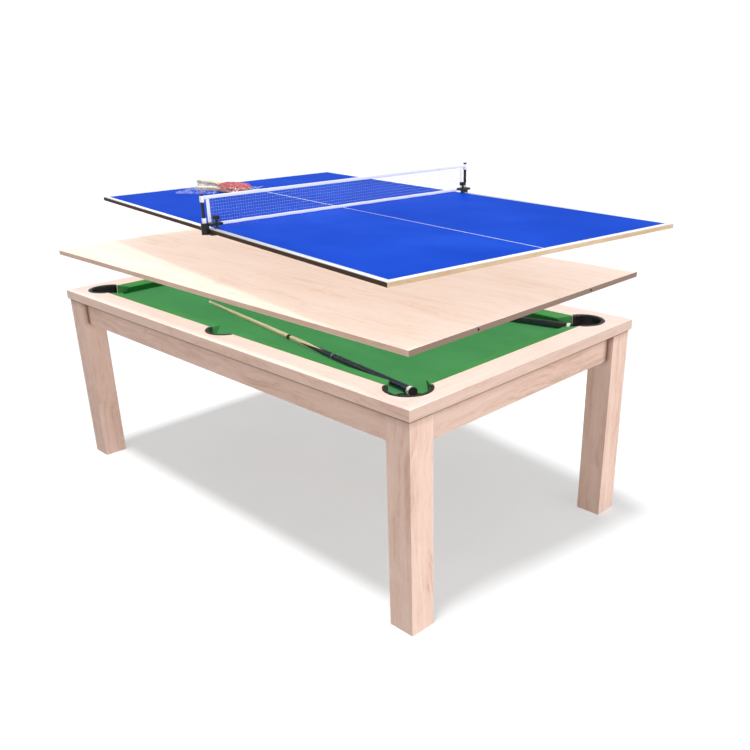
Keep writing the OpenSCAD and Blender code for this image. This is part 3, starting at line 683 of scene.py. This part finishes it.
class Shape:
    """Vertices and faces gathered from several parts of one piece."""

    def __init__(s):
        s.v, s.f, s.i = [], [], []

    def add(s, v, f, mat=0):
        n = len(s.v)
        s.v += [tuple(p) for p in v]
        s.f += [tuple(n + k for k in q) for q in f]
        s.i += [mat] * len(f)

    def tube(s, pts, r, sides=6, mat=0, closed=False, up=(0, 0, 1)):
        """A round tube through pts; a closed one joins its ends, an open one has capped ends."""
        p = np.array(pts, float)
        n = len(p)
        t = (np.roll(p, -1, 0) - np.roll(p, 1, 0)) if closed else np.gradient(p, axis=0)
        t /= np.maximum(np.linalg.norm(t, axis=1)[:, None], 1e-12)
        u = np.array(up, float)
        verts, q = [], np.cross(t[0], u)
        if np.linalg.norm(q) < 1e-3:
            q = np.cross(t[0], (1.0, 0.0, 0.0))
        q /= np.linalg.norm(q)
        rr = np.broadcast_to(np.asarray(r, float), (n,))
        for i in range(n):
            q = q - t[i] * (q @ t[i])
            q /= np.linalg.norm(q)
            w = np.cross(t[i], q)
            for k in range(sides):
                a = 2 * math.pi * k / sides
                verts.append(p[i] + rr[i] * (math.cos(a) * q + math.sin(a) * w))
        faces = []
        for i in range(n if closed else n - 1):
            j = (i + 1) % n
            for k in range(sides):
                m = (k + 1) % sides
                faces.append((i * sides + k, i * sides + m, j * sides + m, j * sides + k))
        if not closed:
            faces.append(tuple(reversed(range(sides))))
            faces.append(tuple(range((n - 1) * sides, n * sides)))
        s.add(verts, faces, mat)

    def loft(s, rings, cap=True, mat=0, closed=False):
        """Rings of equal length joined in order."""
        k = len(rings[0])
        verts = [p for r in rings for p in r]
        faces = []
        n = len(rings)
        for i in range(n if closed else n - 1):
            j = (i + 1) % n
            for a in range(k):
                b = (a + 1) % k
                faces.append((i * k + a, i * k + b, j * k + b, j * k + a))
        if cap and not closed:
            faces.append(tuple(reversed(range(k))))
            faces.append(tuple((n - 1) * k + a for a in range(k)))
        s.add(verts, faces, mat)

    def make(s, name, body, mats, smooth=True, sharp=35):
        return mesh_obj(name, s.v, s.f, body, mats, smooth, sharp, s.i)


def finish_cad(names, m, bevel=0.0, segments=2, angle=32):
    """Material, softened edges and clean shading for CAD nodes that keep their shape."""
    for n in names:
        o = N[n]
        o.data.materials.clear()
        o.data.materials.append(m)
        o.data.polygons.foreach_set("use_smooth", [True] * len(o.data.polygons))
        weld = o.modifiers.new("weld", "WELD")
        weld.merge_threshold = 2e-6
        if bevel:
            b = o.modifiers.new("soft_edges", "BEVEL")
            b.width = bevel
            b.segments = segments
            b.limit_method = "ANGLE"
            b.angle_limit = math.radians(angle)
            b.harden_normals = True
            b.use_clamp_overlap = True
            wn = o.modifiers.new("flat_faces", "WEIGHTED_NORMAL")
            wn.mode = "FACE_AREA"
            wn.weight = 50
            wn.keep_sharp = False
        else:
            o.data.set_sharp_from_angle(angle=math.radians(angle))


# ---------------------------------------------------------------- CAD nodes that keep their shape
finish_cad(["leg_front_left", "leg_front_right", "leg_back_left", "leg_back_right"], m_leg, 0.0016)
finish_cad(["apron_front", "apron_back"], m_side_x, 0.0010)
finish_cad(["apron_left", "apron_right"], m_side_y, 0.0010)
finish_cad(["rail_front", "rail_back"], m_rail_x, 0.0009)
finish_cad(["rail_left", "rail_right"], m_rail_y, 0.0009)
finish_cad(["bed_board"], m_board, 0.0006)
finish_cad(["bed_supports"], m_soft_x, 0.0012)
finish_cad(["cushion_subrails"], m_subrail, 0.0006)
finish_cad(["corner_brackets"], m_steel, 0.0004)
finish_cad(["leg_bolts"], m_steel, 0.0005)
finish_cad([n for n in N if n.startswith("leveller_")], m_leveller, 0.0008)
finish_cad(["near_cue_shaft"], m_near_shaft, 0.0005)
finish_cad(["far_cue_shaft"], m_far_shaft, 0.0005)
finish_cad(["near_cue_joint", "far_cue_joint"], m_collar, 0.0008)
finish_cad(["near_cue_butt"], m_near_butt, 0.0004)
finish_cad(["far_cue_butt"], m_far_butt, 0.0004)
finish_cad(["near_cue_bumper"], m_bumper, 0.002, 3)
finish_cad(["triangle_rack"], m_rack, 0.0016, 3)
finish_cad(["dining_panel_left", "dining_panel_right"], m_dining, 0.0007)
finish_cad(["dining_dowels", "tennis_dowels"], m_dowel, 0.0008)
finish_cad(["dining_pads", "tennis_pads", "tennis_pivot_pad"], m_pad, 0.0006)
finish_cad(["tennis_panel_left", "tennis_panel_right"], m_tennis, 0.0005)
finish_cad(["court_lines"], m_lines)
finish_cad(["net_clamps"], m_clamp, 0.0012, 3)
finish_cad(["clamp_foot_front", "clamp_foot_back"], m_foot, 0.0005)
finish_cad(["clamp_screw_front", "clamp_screw_back"], m_knob, 0.0010, 3)
finish_cad(["net_posts"], m_post, 0.0008)
finish_cad(["balls"], m_ball)


# ---------------------------------------------------------------- cushions: cloth over rubber, one per rail section
LX, WY, TZ = 1.070, 0.600, 0.792
WX, WYI = LX - 0.100, WY - 0.100
NX, NY = WX - 0.050, WYI - 0.050
CPX, CPY = LX - 0.130, WY - 0.130


def spline(points, per=6):
    """A smooth line through points (Catmull-Rom), not closed."""
    p = np.array(points, float)
    p = np.vstack([2 * p[0] - p[1], p, 2 * p[-1] - p[-2]])
    out = []
    for i in range(1, len(p) - 2):
        for t in np.linspace(0, 1, per, endpoint=False):
            out.append(0.5 * ((2 * p[i]) + (p[i + 1] - p[i - 1]) * t + (2 * p[i - 1] - 5 * p[i] + 4 * p[i + 1] - p[i + 2]) * t * t
                              + (3 * p[i] - p[i - 1] - 3 * p[i + 1] + p[i + 2]) * t ** 3))
    out.append(p[-2])
    return np.array(out)


# (depth from the wood, height under the rail top) in millimetres
NOSE = spline([(0.4, -1.9), (4, -1.5), (20, -2.5), (38, -3.8), (45.5, -4.8), (48.9, -6.6), (49.9, -9.4), (48.6, -12.6), (43.0, -19.0), (34.5, -29.0), (26.3, -39.0), (24.5, -41.4)], 5)
BACK = np.array([(20.2, -41.5), (20.2, -15.3), (0.3, -15.3)])
PROFILE = np.vstack([NOSE, BACK]) / 1000


def cushion(name, w0, n0, w1, n1, place):
    """Swept from end to end; every line of the profile runs straight between the two splayed ends."""
    rings = []
    steps = np.concatenate([[0.0, 0.0012, 0.0035, 0.008], np.linspace(0.02, 0.98, 40), [0.992, 0.9965, 0.9988, 1.0]])
    for t in steps:
        ring = []
        e = min(t, 1 - t)
        pull = 0.0016 * max(0.0, 1 - e / 0.008) ** 2       # cloth turned over the end
        cx, cz = 0.026, -0.020
        for d, h in PROFILE:
            x0, x1 = w0 + (n0 - w0) * d / 0.050, w1 + (n1 - w1) * d / 0.050
            dd, hh = d, h
            if d > 0.0205 or h > -0.0150:
                r = math.hypot(d - cx, h - cz)
                dd -= pull * (d - cx) / max(r, 1e-6)
                hh -= pull * (h - cz) / max(r, 1e-6)
            ring.append(place(x0 + (x1 - x0) * t, dd, hh))
        rings.append(ring)
    s = Shape()
    s.loft(rings)
    o = s.make("cloth_" + name, "table", m_cushion, sharp=50)
    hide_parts(name)
    return o


for sx in (-1, 1):
    for sy in (-1, 1):
        nm = "cushion_%s_%s" % ("front" if sy < 0 else "back", "left" if sx < 0 else "right")
        cushion(nm, 0.0701, 0.0801, CPX - 0.0661, NX - 0.0801, lambda x, d, h, sx=sx, sy=sy: (sx * x, sy * (WYI - d), TZ + h))
for sx in (-1, 1):
    nm = "cushion_left" if sx < 0 else "cushion_right"
    a, b = CPY - 0.0661, NY - 0.0801
    cushion(nm, -a, -b, a, b, lambda y, d, h, sx=sx: (sx * (WX - d), y, TZ + h))


# ---------------------------------------------------------------- pocket nets: black cord knotted into diamonds
def pocket_net(name, cx, cy):
    z_top, R, depth = 0.7496, 0.0668, 0.0690
    s = Shape()
    # (radius, drop) down the wall, round the bottom and in to the middle
    path = spline([(R, 0.000), (R + 0.0002, 0.012), (R - 0.0006, 0.028), (R - 0.0018, 0.042), (R - 0.0065, 0.054), (R - 0.0160, 0.0622),
                   (R - 0.030, 0.0658), (R - 0.0500, 0.0668), (0.0085, 0.0670)], 4)
    seg = np.linalg.norm(np.diff(path, axis=0), axis=1)
    along = np.concatenate([[0], np.cumsum(seg)])
    total = along[-1]
    n = 18
    for hand in (-1, 1):
        for k in range(n):
            a0 = 2 * math.pi * k / n
            pts = []
            for i in range(27):
                t = i / 26
                q = along.searchsorted(t * total)
                q = min(max(q, 1), len(path) - 1)
                f = (t * total - along[q - 1]) / max(seg[q - 1], 1e-9)
                r, d = path[q - 1] + (path[q] - path[q - 1]) * f
                a = a0 + hand * (2 * math.pi / n) * 3.0 * t
                weave = 0.0004 * hand * math.cos(math.pi * 6.0 * t)
                pts.append((cx + (r + weave) * math.cos(a), cy + (r + weave) * math.sin(a), z_top - d + 0.0002 * hand))
            s.tube(pts, 0.00092, 5)
    # knots where the cords cross, a hem ring at the top and the gathered middle
    for j in range(1, 6):
        t = j / 6
        q = min(max(along.searchsorted(t * total), 1), len(path) - 1)
        f = (t * total - along[q - 1]) / max(seg[q - 1], 1e-9)
        r, d = path[q - 1] + (path[q] - path[q - 1]) * f
        for k in range(n):
            a = 2 * math.pi * (k + 0.5 * (j % 2)) / n
            c = np.array((cx + r * math.cos(a), cy + r * math.sin(a), z_top - d))
            tg = np.array((-math.sin(a), math.cos(a), 0.0))
            s.tube([c - tg * 0.0021, c - tg * 0.0010, c + tg * 0.0010, c + tg * 0.0021], [0.0008, 0.0018, 0.0018, 0.0008], 6)
    ring = [(cx + R * math.cos(a), cy + R * math.sin(a), z_top - 0.0016) for a in np.linspace(0, 2 * math.pi, 48, endpoint=False)]
    s.tube(ring, 0.0015, 6, closed=True)
    foot = [(cx + 0.0088 * math.cos(a), cy + 0.0088 * math.sin(a), z_top - 0.0672) for a in np.linspace(0, 2 * math.pi, 20, endpoint=False)]
    s.tube(foot, 0.0016, 6, closed=True)
    o = s.make(name, "table", m_pocket_cord, sharp=60)
    return o


nets = []
for px, py, nm in [(-CPX, -CPY, "front_left"), (CPX, -CPY, "front_right"), (-CPX, CPY, "back_left"), (CPX, CPY, "back_right"),
                   (0, -0.477, "front_middle"), (0, 0.477, "back_middle")]:
    nets.append(pocket_net("net_pocket_" + nm, px, py))
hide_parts("pocket_nets")
for o in nets[1:]:
    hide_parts("pocket_nets")


# ---------------------------------------------------------------- pocket collars: moulded, with a thin flange on the wood
# (radius, height against the rail top) in millimetres, from the inner foot over the lip to the flange's outer edge
COLLAR = spline([(65.2, -41.6), (65.0, -34), (65.0, -12), (65.2, -4.5), (65.9, -1.2), (67.4, 0.7), (69.6, 1.45), (74.4, 1.5), (79.2, 1.15), (80.3, 0.45)], 4)
COLLAR_BACK = np.array([(80.3, 0.06), (70.8, 0.05), (70.6, -1.2), (70.7, -41.6)])
COLLAR_PROFILE = np.vstack([COLLAR, COLLAR_BACK]) / 1000


def collar_piece(name, cx, cy, a0, a1):
    s = Shape()
    rings = []
    n = 56
    for k in range(n + 1):
        t = k / n
        a = math.radians(a0 + (a1 - a0) * t)
        e = min(t, 1 - t) * math.radians(abs(a1 - a0)) * 0.070        # distance from the nearer end
        soft = max(0.0, 1 - e / 0.005)
        ring = []
        for r, h in COLLAR_PROFILE:
            rr = r - (r - 0.0678) * 0.35 * soft ** 2
            hh = h - 0.0012 * soft ** 2 if h > -0.02 else h
            ring.append((cx + rr * math.cos(a), cy + rr * math.sin(a), TZ + hh))
        rings.append(ring)
    s.loft(rings)
    return s.make(name, "table", m_liner, sharp=55)


collars = []
for sx in (-1, 1):
    for sy in (-1, 1):
        mid = math.degrees(math.atan2(sy, sx))
        collars.append(collar_piece("collar_%s_%s" % ("front" if sy < 0 else "back", "left" if sx < 0 else "right"), sx * CPX, sy * CPY, mid - 110, mid + 110))
for sy in (-1, 1):
    collars.append(collar_piece("collar_%s_middle" % ("front" if sy < 0 else "back"), 0.0, sy * 0.477, sy * 90 - 71, sy * 90 + 71))
for o in collars:
    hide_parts("pocket_liners")


# ---------------------------------------------------------------- bed cloth
def bed_sheet():
    """The CAD cloth's outline, laid flat and turned down a little round the pockets."""
    lo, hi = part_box("bed_cloth")
    bx, by = hi[0] - 0.0006, hi[1] - 0.0006
    zt = hi[2]
    r = 0.0692
    holes = [(sx * CPX, sy * CPY) for sx in (-1, 1) for sy in (-1, 1)] + [(0, -0.477), (0, 0.477)]
    lcut_x, lcut_y = 0.962, 0.492
    nx, ny = 208, 112
    xs, ys = np.linspace(-bx, bx, nx + 1), np.linspace(-by, by, ny + 1)
    verts, index, faces = [], {}, []

    def inside(x, y):
        if abs(x) > lcut_x - 1e-9 and abs(y) > lcut_y - 1e-9:
            return False
        return all(math.hypot(x - hx, y - hy) >= r for hx, hy in holes)

    keep = np.zeros((nx + 1, ny + 1), bool)
    pos = np.zeros((nx + 1, ny + 1, 3))
    for i, x in enumerate(xs):
        for j, y in enumerate(ys):
            keep[i, j] = inside(x, y)
            pos[i, j] = (x, y, zt)
    # points just inside a hole are drawn out to its rim, so that the rim is round
    dx, dy = xs[1] - xs[0], ys[1] - ys[0]
    for i in range(nx + 1):
        for j in range(ny + 1):
            if keep[i, j]:
                continue
            near = any(0 <= i + a <= nx and 0 <= j + b <= ny and keep[i + a, j + b] for a in (-1, 0, 1) for b in (-1, 0, 1))
            if not near:
                continue
            x, y = xs[i], ys[j]
            for hx, hy in holes:
                d = math.hypot(x - hx, y - hy)
                if d < r and d > 1e-6:
                    x, y = hx + (x - hx) * r / d, hy + (y - hy) * r / d
            if abs(x) > lcut_x and abs(y) > lcut_y:
                if abs(x) - lcut_x < abs(y) - lcut_y:
                    x = math.copysign(lcut_x, x)
                else:
                    y = math.copysign(lcut_y, y)
            pos[i, j] = (x, y, zt)
    for i in range(nx):
        for j in range(ny):
            q = [(i, j), (i + 1, j), (i + 1, j + 1), (i, j + 1)]
            if sum(keep[a] for a in q) < 3:
                continue
            f = []
            for a in q:
                if a not in index:
                    index[a] = len(verts)
                    verts.append(pos[a])
                f.append(index[a])
            faces.append(tuple(f))
    # the cloth turned over the hole's edge and glued down inside it
    for hx, hy in holes:
        ring = []
        for k in range(97):
            a = 2 * math.pi * k / 96
            ok = not (abs(hx) > 0.1 and abs(hx + r * math.cos(a)) > lcut_x and abs(hy + r * math.sin(a)) > lcut_y)
            ok = ok and abs(hx + r * math.cos(a)) < bx and abs(hy + r * math.sin(a)) < by
            ring.append((a, ok))
        rows = [(0.0004, 0.0), (-0.0002, -0.0006), (-0.0006, -0.0018), (-0.0007, -0.005), (-0.0005, -0.0095)]
        for k in range(96):
            if not (ring[k][1] and ring[k + 1][1]):
                continue
            for m in range(len(rows) - 1):
                q = []
                for a, (dr, dz) in ((ring[k][0], rows[m]), (ring[k][0], rows[m + 1]), (ring[k + 1][0], rows[m + 1]), (ring[k + 1][0], rows[m])):
                    q.append((hx + (r + dr) * math.cos(a), hy + (r + dr) * math.sin(a), zt + dz))
                n0 = len(verts)
                verts += q
                faces.append((n0, n0 + 3, n0 + 2, n0 + 1))
    o = mesh_obj("cloth_bed", verts, faces, "table", m_cloth, sharp=60)
    wd = o.modifiers.new("weld", "WELD")
    wd.merge_threshold = 1e-5
    sol = o.modifiers.new("thick", "SOLIDIFY")
    sol.thickness = 0.0013
    sol.offset = -1.0
    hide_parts("bed_cloth")
    return o


bed_sheet()


# ---------------------------------------------------------------- table-tennis net
PY = 0.611


def loop_tape(name, z0, z1, r, thick=0.0006, wave=0.0):
    """A tape folded over: it runs along both faces of the net and round both posts."""
    line = []
    ys = np.linspace(-0.596, 0.596, 121)
    for y in ys:
        line.append((0.0011, y))
    for a in np.linspace(-38, 218, 15):
        line.append((r * math.cos(math.radians(a)), PY + r * math.sin(math.radians(a))))
    for y in ys[::-1]:
        line.append((-0.0011, y))
    for a in np.linspace(142, 398, 15):
        line.append((r * math.cos(math.radians(a)), -PY + r * math.sin(math.radians(a))))
    p = np.array(line)
    nxt, prv = np.roll(p, -1, 0), np.roll(p, 1, 0)
    t = nxt - prv
    t /= np.linalg.norm(t, axis=1)[:, None]
    nrm = np.stack([t[:, 1], -t[:, 0]], 1)
    rows = [(z0, -0.35), (z0 + 0.0004, 0.35), (z0 + 0.0012, 0.5), ((z0 + z1) / 2, 0.62), (z1 - 0.0012, 0.5), (z1 - 0.0004, 0.35), (z1, -0.35)]
    rings = []
    for k, (x, y) in enumerate(p):
        w = wave * (math.sin(y * 41.0) * 0.6 + math.sin(y * 97.0 + 1.0) * 0.4)
        ring = []
        for z, e in rows:
            q = (x + nrm[k][0] * e * thick, y + nrm[k][1] * e * thick)
            ring.append(T((q[0], q[1], z + w)))
        for z, e in rows[::-1]:
            q = (x - nrm[k][0] * 0.5 * thick, y - nrm[k][1] * 0.5 * thick)
            ring.append(T((q[0], q[1], z + w)))
        rings.append(ring)
    s = Shape()
    s.loft(rings, closed=True)
    o = s.make(name, "net", m_tape, sharp=50)
    return o


tape_top = loop_tape("net_tape_top", 0.1002, 0.1122, 0.0070)
tape_low = loop_tape("net_tape_bottom", 0.0062, 0.0172, 0.0072, wave=0.0005)


def stitches():
    s = Shape()
    for z in (0.1018, 0.0156):
        for side in (-1, 1):
            for y in np.arange(-0.590, 0.590, 0.0042):
                x = side * 0.00178
                s.tube([T((x, y, z)), T((x + side * 0.0002, y + 0.0012, z)), T((x, y + 0.0024, z))], 0.00022, 4)
    o = s.make("net_stitches", "net", m_stitch)
    return o


stitches()


def end_tapes():
    """Vertical tapes that close the net's ends, and the sleeves on the posts."""
    out = []
    for s_ in (-1, 1):
        y0, y1 = s_ * 0.5835, s_ * 0.5955
        for side in (-1, 1):
            sh = Shape()
            rings = []
            for z in np.linspace(0.0178, 0.0996, 20):
                a = 0.00022 * math.sin(z * 160 + side)
                ring = []
                for y, e in ((y0, 0.0), (y0 + s_ * 0.0012, 1.0), ((y0 + y1) / 2, 1.15), (y1 - s_ * 0.0012, 1.0), (y1, 0.0)):
                    ring.append(T((side * (0.0007 + 0.0005 * e) + side * a * 0.3, y, z)))
                for y in (y1, (y0 + y1) / 2, y0):
                    ring.append(T((side * 0.00055, y, z)))
                rings.append(ring)
            sh.loft(rings)
            nm = "net_tape_end_%s_%s" % ("front" if s_ < 0 else "back", "a" if side < 0 else "b")
            o = sh.make(nm, "net", m_tape, sharp=50)
            out.append(o)
    for s_ in (-1, 1):
        for z0, z1, tag in ((0.0915, 0.1132, "top"), (0.0190, 0.0362, "foot")):
            sh = Shape()
            rings = []
            for a in np.linspace(0, 2 * math.pi, 40, endpoint=False):
                ring = []
                c, q = math.cos(a), math.sin(a)
                zz = np.linspace(z0, z1, 7)
                for z in zz:
                    u = (z - z0) / (z1 - z0)
                    puff = 0.0003 * math.sin(u * math.pi) + 0.0002 * math.sin(3 * a + u * 4)
                    rr = (0.0078 if z0 < 0.05 else 0.0080) + puff
                    ring.append(T((rr * c, s_ * PY + rr * q, z)))
                for z in zz[::-1]:
                    ring.append(T((0.0063 * c, s_ * PY + 0.0063 * q, z)))
                rings.append(ring)
            sh.loft(rings, closed=True)
            nm = "net_sleeve_%s_%s" % ("front" if s_ < 0 else "back", tag)
            o = sh.make(nm, "net", m_tape, sharp=50)
            out.append(o)
    return out


def net_threads():
    """The netting: square meshes of thin white thread, with a small knot at every other crossing."""
    s = Shape()
    z0, z1 = 0.0170, 0.1006
    for y in np.arange(-0.580, 0.5801, 0.010):
        z = np.linspace(z0, z1, 11)
        pts = [T((0.00018 + 0.0001 * math.sin(k * math.pi), y + 0.00035 * math.sin(y * 900 + k * 2.1), zz)) for k, zz in enumerate(z)]
        s.tube(pts, 0.00038, 5, up=(1, 0, 0))
    for k, z in enumerate(np.linspace(z0 + 0.0093, z1 - 0.0093, 7)):
        y = np.linspace(-0.5838, 0.5838, 118)
        pts = [T((-0.00018, yy, z + 0.00045 * math.sin(yy * 700 + k * 1.7))) for yy in y]
        s.tube(pts, 0.00038, 5)
        for yy in np.arange(-0.580 + 0.010 * (k % 2), 0.5801, 0.020):
            s.tube([T((0, yy - 0.0008, z)), T((0, yy, z)), T((0, yy + 0.0008, z))], [0.00045, 0.0007, 0.00045], 4)
    o = s.make("net_mesh_threads", "net", m_thread, sharp=60)
    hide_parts("net_mesh")
    return o


threads = net_threads()
tapes = end_tapes()
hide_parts("net_bands")
for o in [tape_low] + tapes:
    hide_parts("net_bands")


# ---------------------------------------------------------------- bats
BAT_AT, BAT_A = (-0.775, -0.095), math.radians(45)


def rot_z(a):
    return Matrix.Rotation(a, 4, "Z")


def rot_y(a):
    return Matrix.Rotation(a, 4, "Y")


ON = Matrix.Translation((OX, OY, OZ)) @ rot_z(TURN)
LOWER = ON @ Matrix.Translation((BAT_AT[0], BAT_AT[1], 0.0087)) @ rot_z(BAT_A) @ rot_y(math.radians(2.2))
UPPER = LOWER @ Matrix.Translation((0.002, -0.007, 0.0164)) @ rot_z(math.radians(-5)) @ rot_y(math.radians(4.3))


def bat_outline(grow=0.0, n=96):
    """The blade's outline: a round that runs in a soft curve into the neck."""
    pts = []
    for a in np.linspace(-152, 152, n):
        r = 0.0760 + grow
        a_ = math.radians(a)
        pts.append((r * math.cos(a_), r * math.sin(a_)))
    x0, y0 = pts[-1]
    neck = []
    for t in np.linspace(0, 1, 12)[1:]:
        x = x0 + (-0.092 - x0) * t
        y = 0.0128 + (y0 - 0.0128) * (1 - t) ** 2.0
        neck.append((x, y))
    tail = [(-0.176, 0.0120), (-0.176, -0.0120)]
    return pts + neck + tail + [(x, -y) for x, y in neck[::-1]]


def bat(tag, M):
    out = []
    s = Shape()
    line = bat_outline()
    rings = []
    for z, inset in ((-0.0030, 0.0005), (-0.0027, 0.0), (0.0, 0.0), (0.0027, 0.0), (0.0030, 0.0005)):
        rings.append([M @ Vector((x * (1 - inset / 0.076), y * (1 - inset / 0.076), z)) for x, y in line])
    s.loft(rings)
    o = s.make("bat_blade_" + tag, "bat_set", m_blade, sharp=40)
    out.append(o)
    # two handle scales, flared at the end and rounded off, with a soft slope up from the blade
    for side in (-1, 1):
        s = Shape()
        rings = []
        xs = np.concatenate([[-0.0805, -0.0812, -0.0830, -0.0860, -0.0900], np.linspace(-0.096, -0.168, 13), [-0.1725, -0.1758, -0.1772]])
        for x in xs:
            w = 0.0150 - 0.0028 * math.exp(-((x + 0.112) / 0.020) ** 2) if x > -0.112 else 0.0122 + 0.0034 * ((-0.112 - x) / 0.066) ** 1.6
            h = 0.0079
            if x > -0.090:
                k = (x + 0.090) / 0.0095
                h *= math.sqrt(max(0.02, 1 - k * k * 0.97))
            if x < -0.168:
                k = (-0.168 - x) / 0.0096
                q = math.sqrt(max(0.05, 1 - k * k))
                h *= q
                w *= 0.80 + 0.20 * q
            ring = [Vector((x, -w, side * 0.0031)), Vector((x, w, side * 0.0031))]
            for a in np.linspace(0, 180, 15):
                c, q = math.cos(math.radians(a)), math.sin(math.radians(a))
                y = w * math.copysign(abs(c) ** 0.55, c)
                z = 0.0031 + h * abs(q) ** 0.75
                ring.append(Vector((x, y, side * z)))
            rings.append([M @ p for p in ring])
        if side < 0:
            rings = [r[::-1] for r in rings]
        s.loft(rings)
        o = s.make("bat_handle_%s_%s" % (tag, "up" if side > 0 else "down"), "bat_set", m_handle, sharp=45)
        out.append(o)
    return out


parts = bat("lower", LOWER) + bat("upper", UPPER)
for o in parts:
    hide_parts("bats")


def rubber(tag, M):
    out = []
    for side in (-1, 1):
        s = Shape()
        r = 0.0752
        cut = -0.0615
        a0 = math.degrees(math.acos(cut / r))
        line = [(r * math.cos(math.radians(a)), r * math.sin(math.radians(a))) for a in np.linspace(-a0, a0, 100)]
        m = 10
        y0 = line[-1][1]
        line += [(cut - 0.0012 * math.sin(math.pi * k / m), y0 - 2 * y0 * k / m) for k in range(1, m)]
        rings = []
        for z, inset in ((0.00305, 0.0), (0.0042, 0.0002), (0.0047, 0.0004), (0.00497, 0.0011)):
            rings.append([M @ Vector((x * (1 - inset / r), y * (1 - inset / r), side * z)) for x, y in line])
        if side < 0:
            rings = [q[::-1] for q in rings]
        s.loft(rings)
        out.append(s.make("bat_rubber_%s_%s" % (tag, "up" if side > 0 else "down"), "bat_set", m_rubber, sharp=40))
    return out


for o in rubber("lower", LOWER) + rubber("upper", UPPER):
    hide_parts("bat_rubbers")


# ---------------------------------------------------------------- clear wrapping film over the bats
def film():
    rng = np.random.default_rng(7)
    W, H = 0.355, 0.215
    nx, ny = 150, 92
    inv = np.array(ON.inverted() @ Matrix.Identity(4))
    base = ON @ Matrix.Translation((-0.845, -0.150, 0.0)) @ rot_z(BAT_A)
    U = np.array(UPPER.inverted() @ base)
    L = np.array(LOWER.inverted() @ base)
    xs = np.linspace(-0.165, -0.165 + W, nx)
    ys = np.linspace(-H / 2 + 0.002, H / 2 + 0.002, ny)
    X, Y = np.meshgrid(xs, ys, indexing="ij")
    # wobbly outline, as film that was pulled off a parcel
    X = X + 0.006 * np.sin(Y * 47 + 1.0) * (np.abs(X - xs.mean()) / (W / 2)) ** 3
    Y = Y + 0.005 * np.sin(X * 39 + 0.5) * (np.abs(Y) / (H / 2)) ** 3

    def fold(x, y):
        h = np.zeros_like(x)
        for k in range(26):
            a = rng.uniform(0, math.pi)
            f = rng.uniform(38, 150)
            ph = rng.uniform(0, 6.28)
            u = x * math.cos(a) + y * math.sin(a) + 0.004 * np.sin((x * -math.sin(a) + y * math.cos(a)) * rng.uniform(20, 60) + ph)
            h += (1 - np.abs(np.sin(u * f + ph))) ** 5 * rng.uniform(0.4, 1.0) * 26 / f
        return h

    wr = fold(X, Y)
    wr = (wr - wr.min()) / (wr.max() - wr.min())

    def cover(M4, blade_top, handle_top):
        """Height above the sheet's plane that clears one bat at each point, falling away round it."""
        px = M4[0, 0] * X + M4[0, 1] * Y + M4[0, 3]
        py = M4[1, 0] * X + M4[1, 1] * Y + M4[1, 3]
        d_blade = np.hypot(px, py) - 0.077
        dx = np.maximum(np.maximum(-0.178 - px, px + 0.075), 0)
        dy = np.maximum(np.abs(py) - 0.0165, 0)
        d_handle = np.hypot(dx, dy)
        # the bat's own plane in the sheet's frame: z = (t - a x - b y - c) / k
        k = M4[2, 2]
        plane = lambda t: (t - M4[2, 0] * X - M4[2, 1] * Y - M4[2, 3]) / k
        hb = plane(blade_top) - np.maximum(d_blade, 0) * 1.5
        hh = plane(handle_top) - d_handle * 1.6
        return np.maximum(hb, hh)

    Z = np.maximum(cover(U, 0.0062, 0.0122), cover(L, 0.0062, 0.0122))
    floor_ = 0.0009
    Z = np.maximum(Z, floor_)
    high = np.clip((Z - floor_) / 0.01, 0, 1)
    edge = np.minimum.reduce([(X - X.min()) / 0.03, (X.max() - X) / 0.03, (Y - Y.min()) / 0.03, (Y.max() - Y) / 0.03])
    edge = np.clip(edge, 0, 1)
    Z = Z + wr * (0.0035 + 0.0045 * (1 - high)) + (1 - edge) * wr * 0.004
    verts = [base @ Vector((X[i, j], Y[i, j], Z[i, j])) for i in range(nx) for j in range(ny)]
    faces = [(i * ny + j, (i + 1) * ny + j, (i + 1) * ny + j + 1, i * ny + j + 1) for i in range(nx - 1) for j in range(ny - 1)]
    o = mesh_obj("wrapping_film", verts, faces, "bat_set", m_film, sharp=80)
    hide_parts("clear_bag")
    return o


film()

# ---------------------------------------------------------------- floor
me = bpy.data.meshes.new("floor")
me.from_pydata([(-30, -30, -0.0005), (30, -30, -0.0005), (30, 30, -0.0005), (-30, 30, -0.0005)], [], [(0, 1, 2, 3)])
floor = bpy.data.objects.new("floor", me)
scene.collection.objects.link(floor)
gf = G("floor_pale")
nf = gf.noise(gf.obj(), 3.0, 2.0)
seen = gf.t.nodes.new("ShaderNodeLightPath").outputs["Is Camera Ray"]
tone = gf.ramp(nf, [(0.3, (0.524, 0.532, 0.538)), (0.7, (0.537, 0.545, 0.551))])
me.materials.append(gf.base(color=gf.mix(seen, (0.30, 0.30, 0.30), tone), rough=0.9, spec=0.0))   # it throws less light back than it shows
# a second lamp in the overhead one's place that lights the floor alone, so that the shadow reads against it
lit = bpy.data.collections.new("floor_only")
lit.objects.link(floor)
extra = sunlight("overhead_floor", (0.10, -0.55, 4.0), 1.75, 8)
extra.light_linking.receiver_collection = lit
# the fill passes the left legs by, and a weaker one takes its place: they stand in the table's own shade
shaded = bpy.data.collections.new("left_legs")
for o in scene.objects:
    if o.name.startswith(("leg_front_left", "leg_back_left")):
        shaded.objects.link(o)
for c in shaded.collection_objects:
    c.light_linking.link_state = "EXCLUDE"
fill.light_linking.receiver_collection = shaded
some = bpy.data.collections.new("left_legs_only")
for o in shaded.objects:
    some.objects.link(o)
weak = sunlight("fill_left_legs", (1.95, 0.10, 4.0), 1.35, 30, False)
weak.light_linking.receiver_collection = some
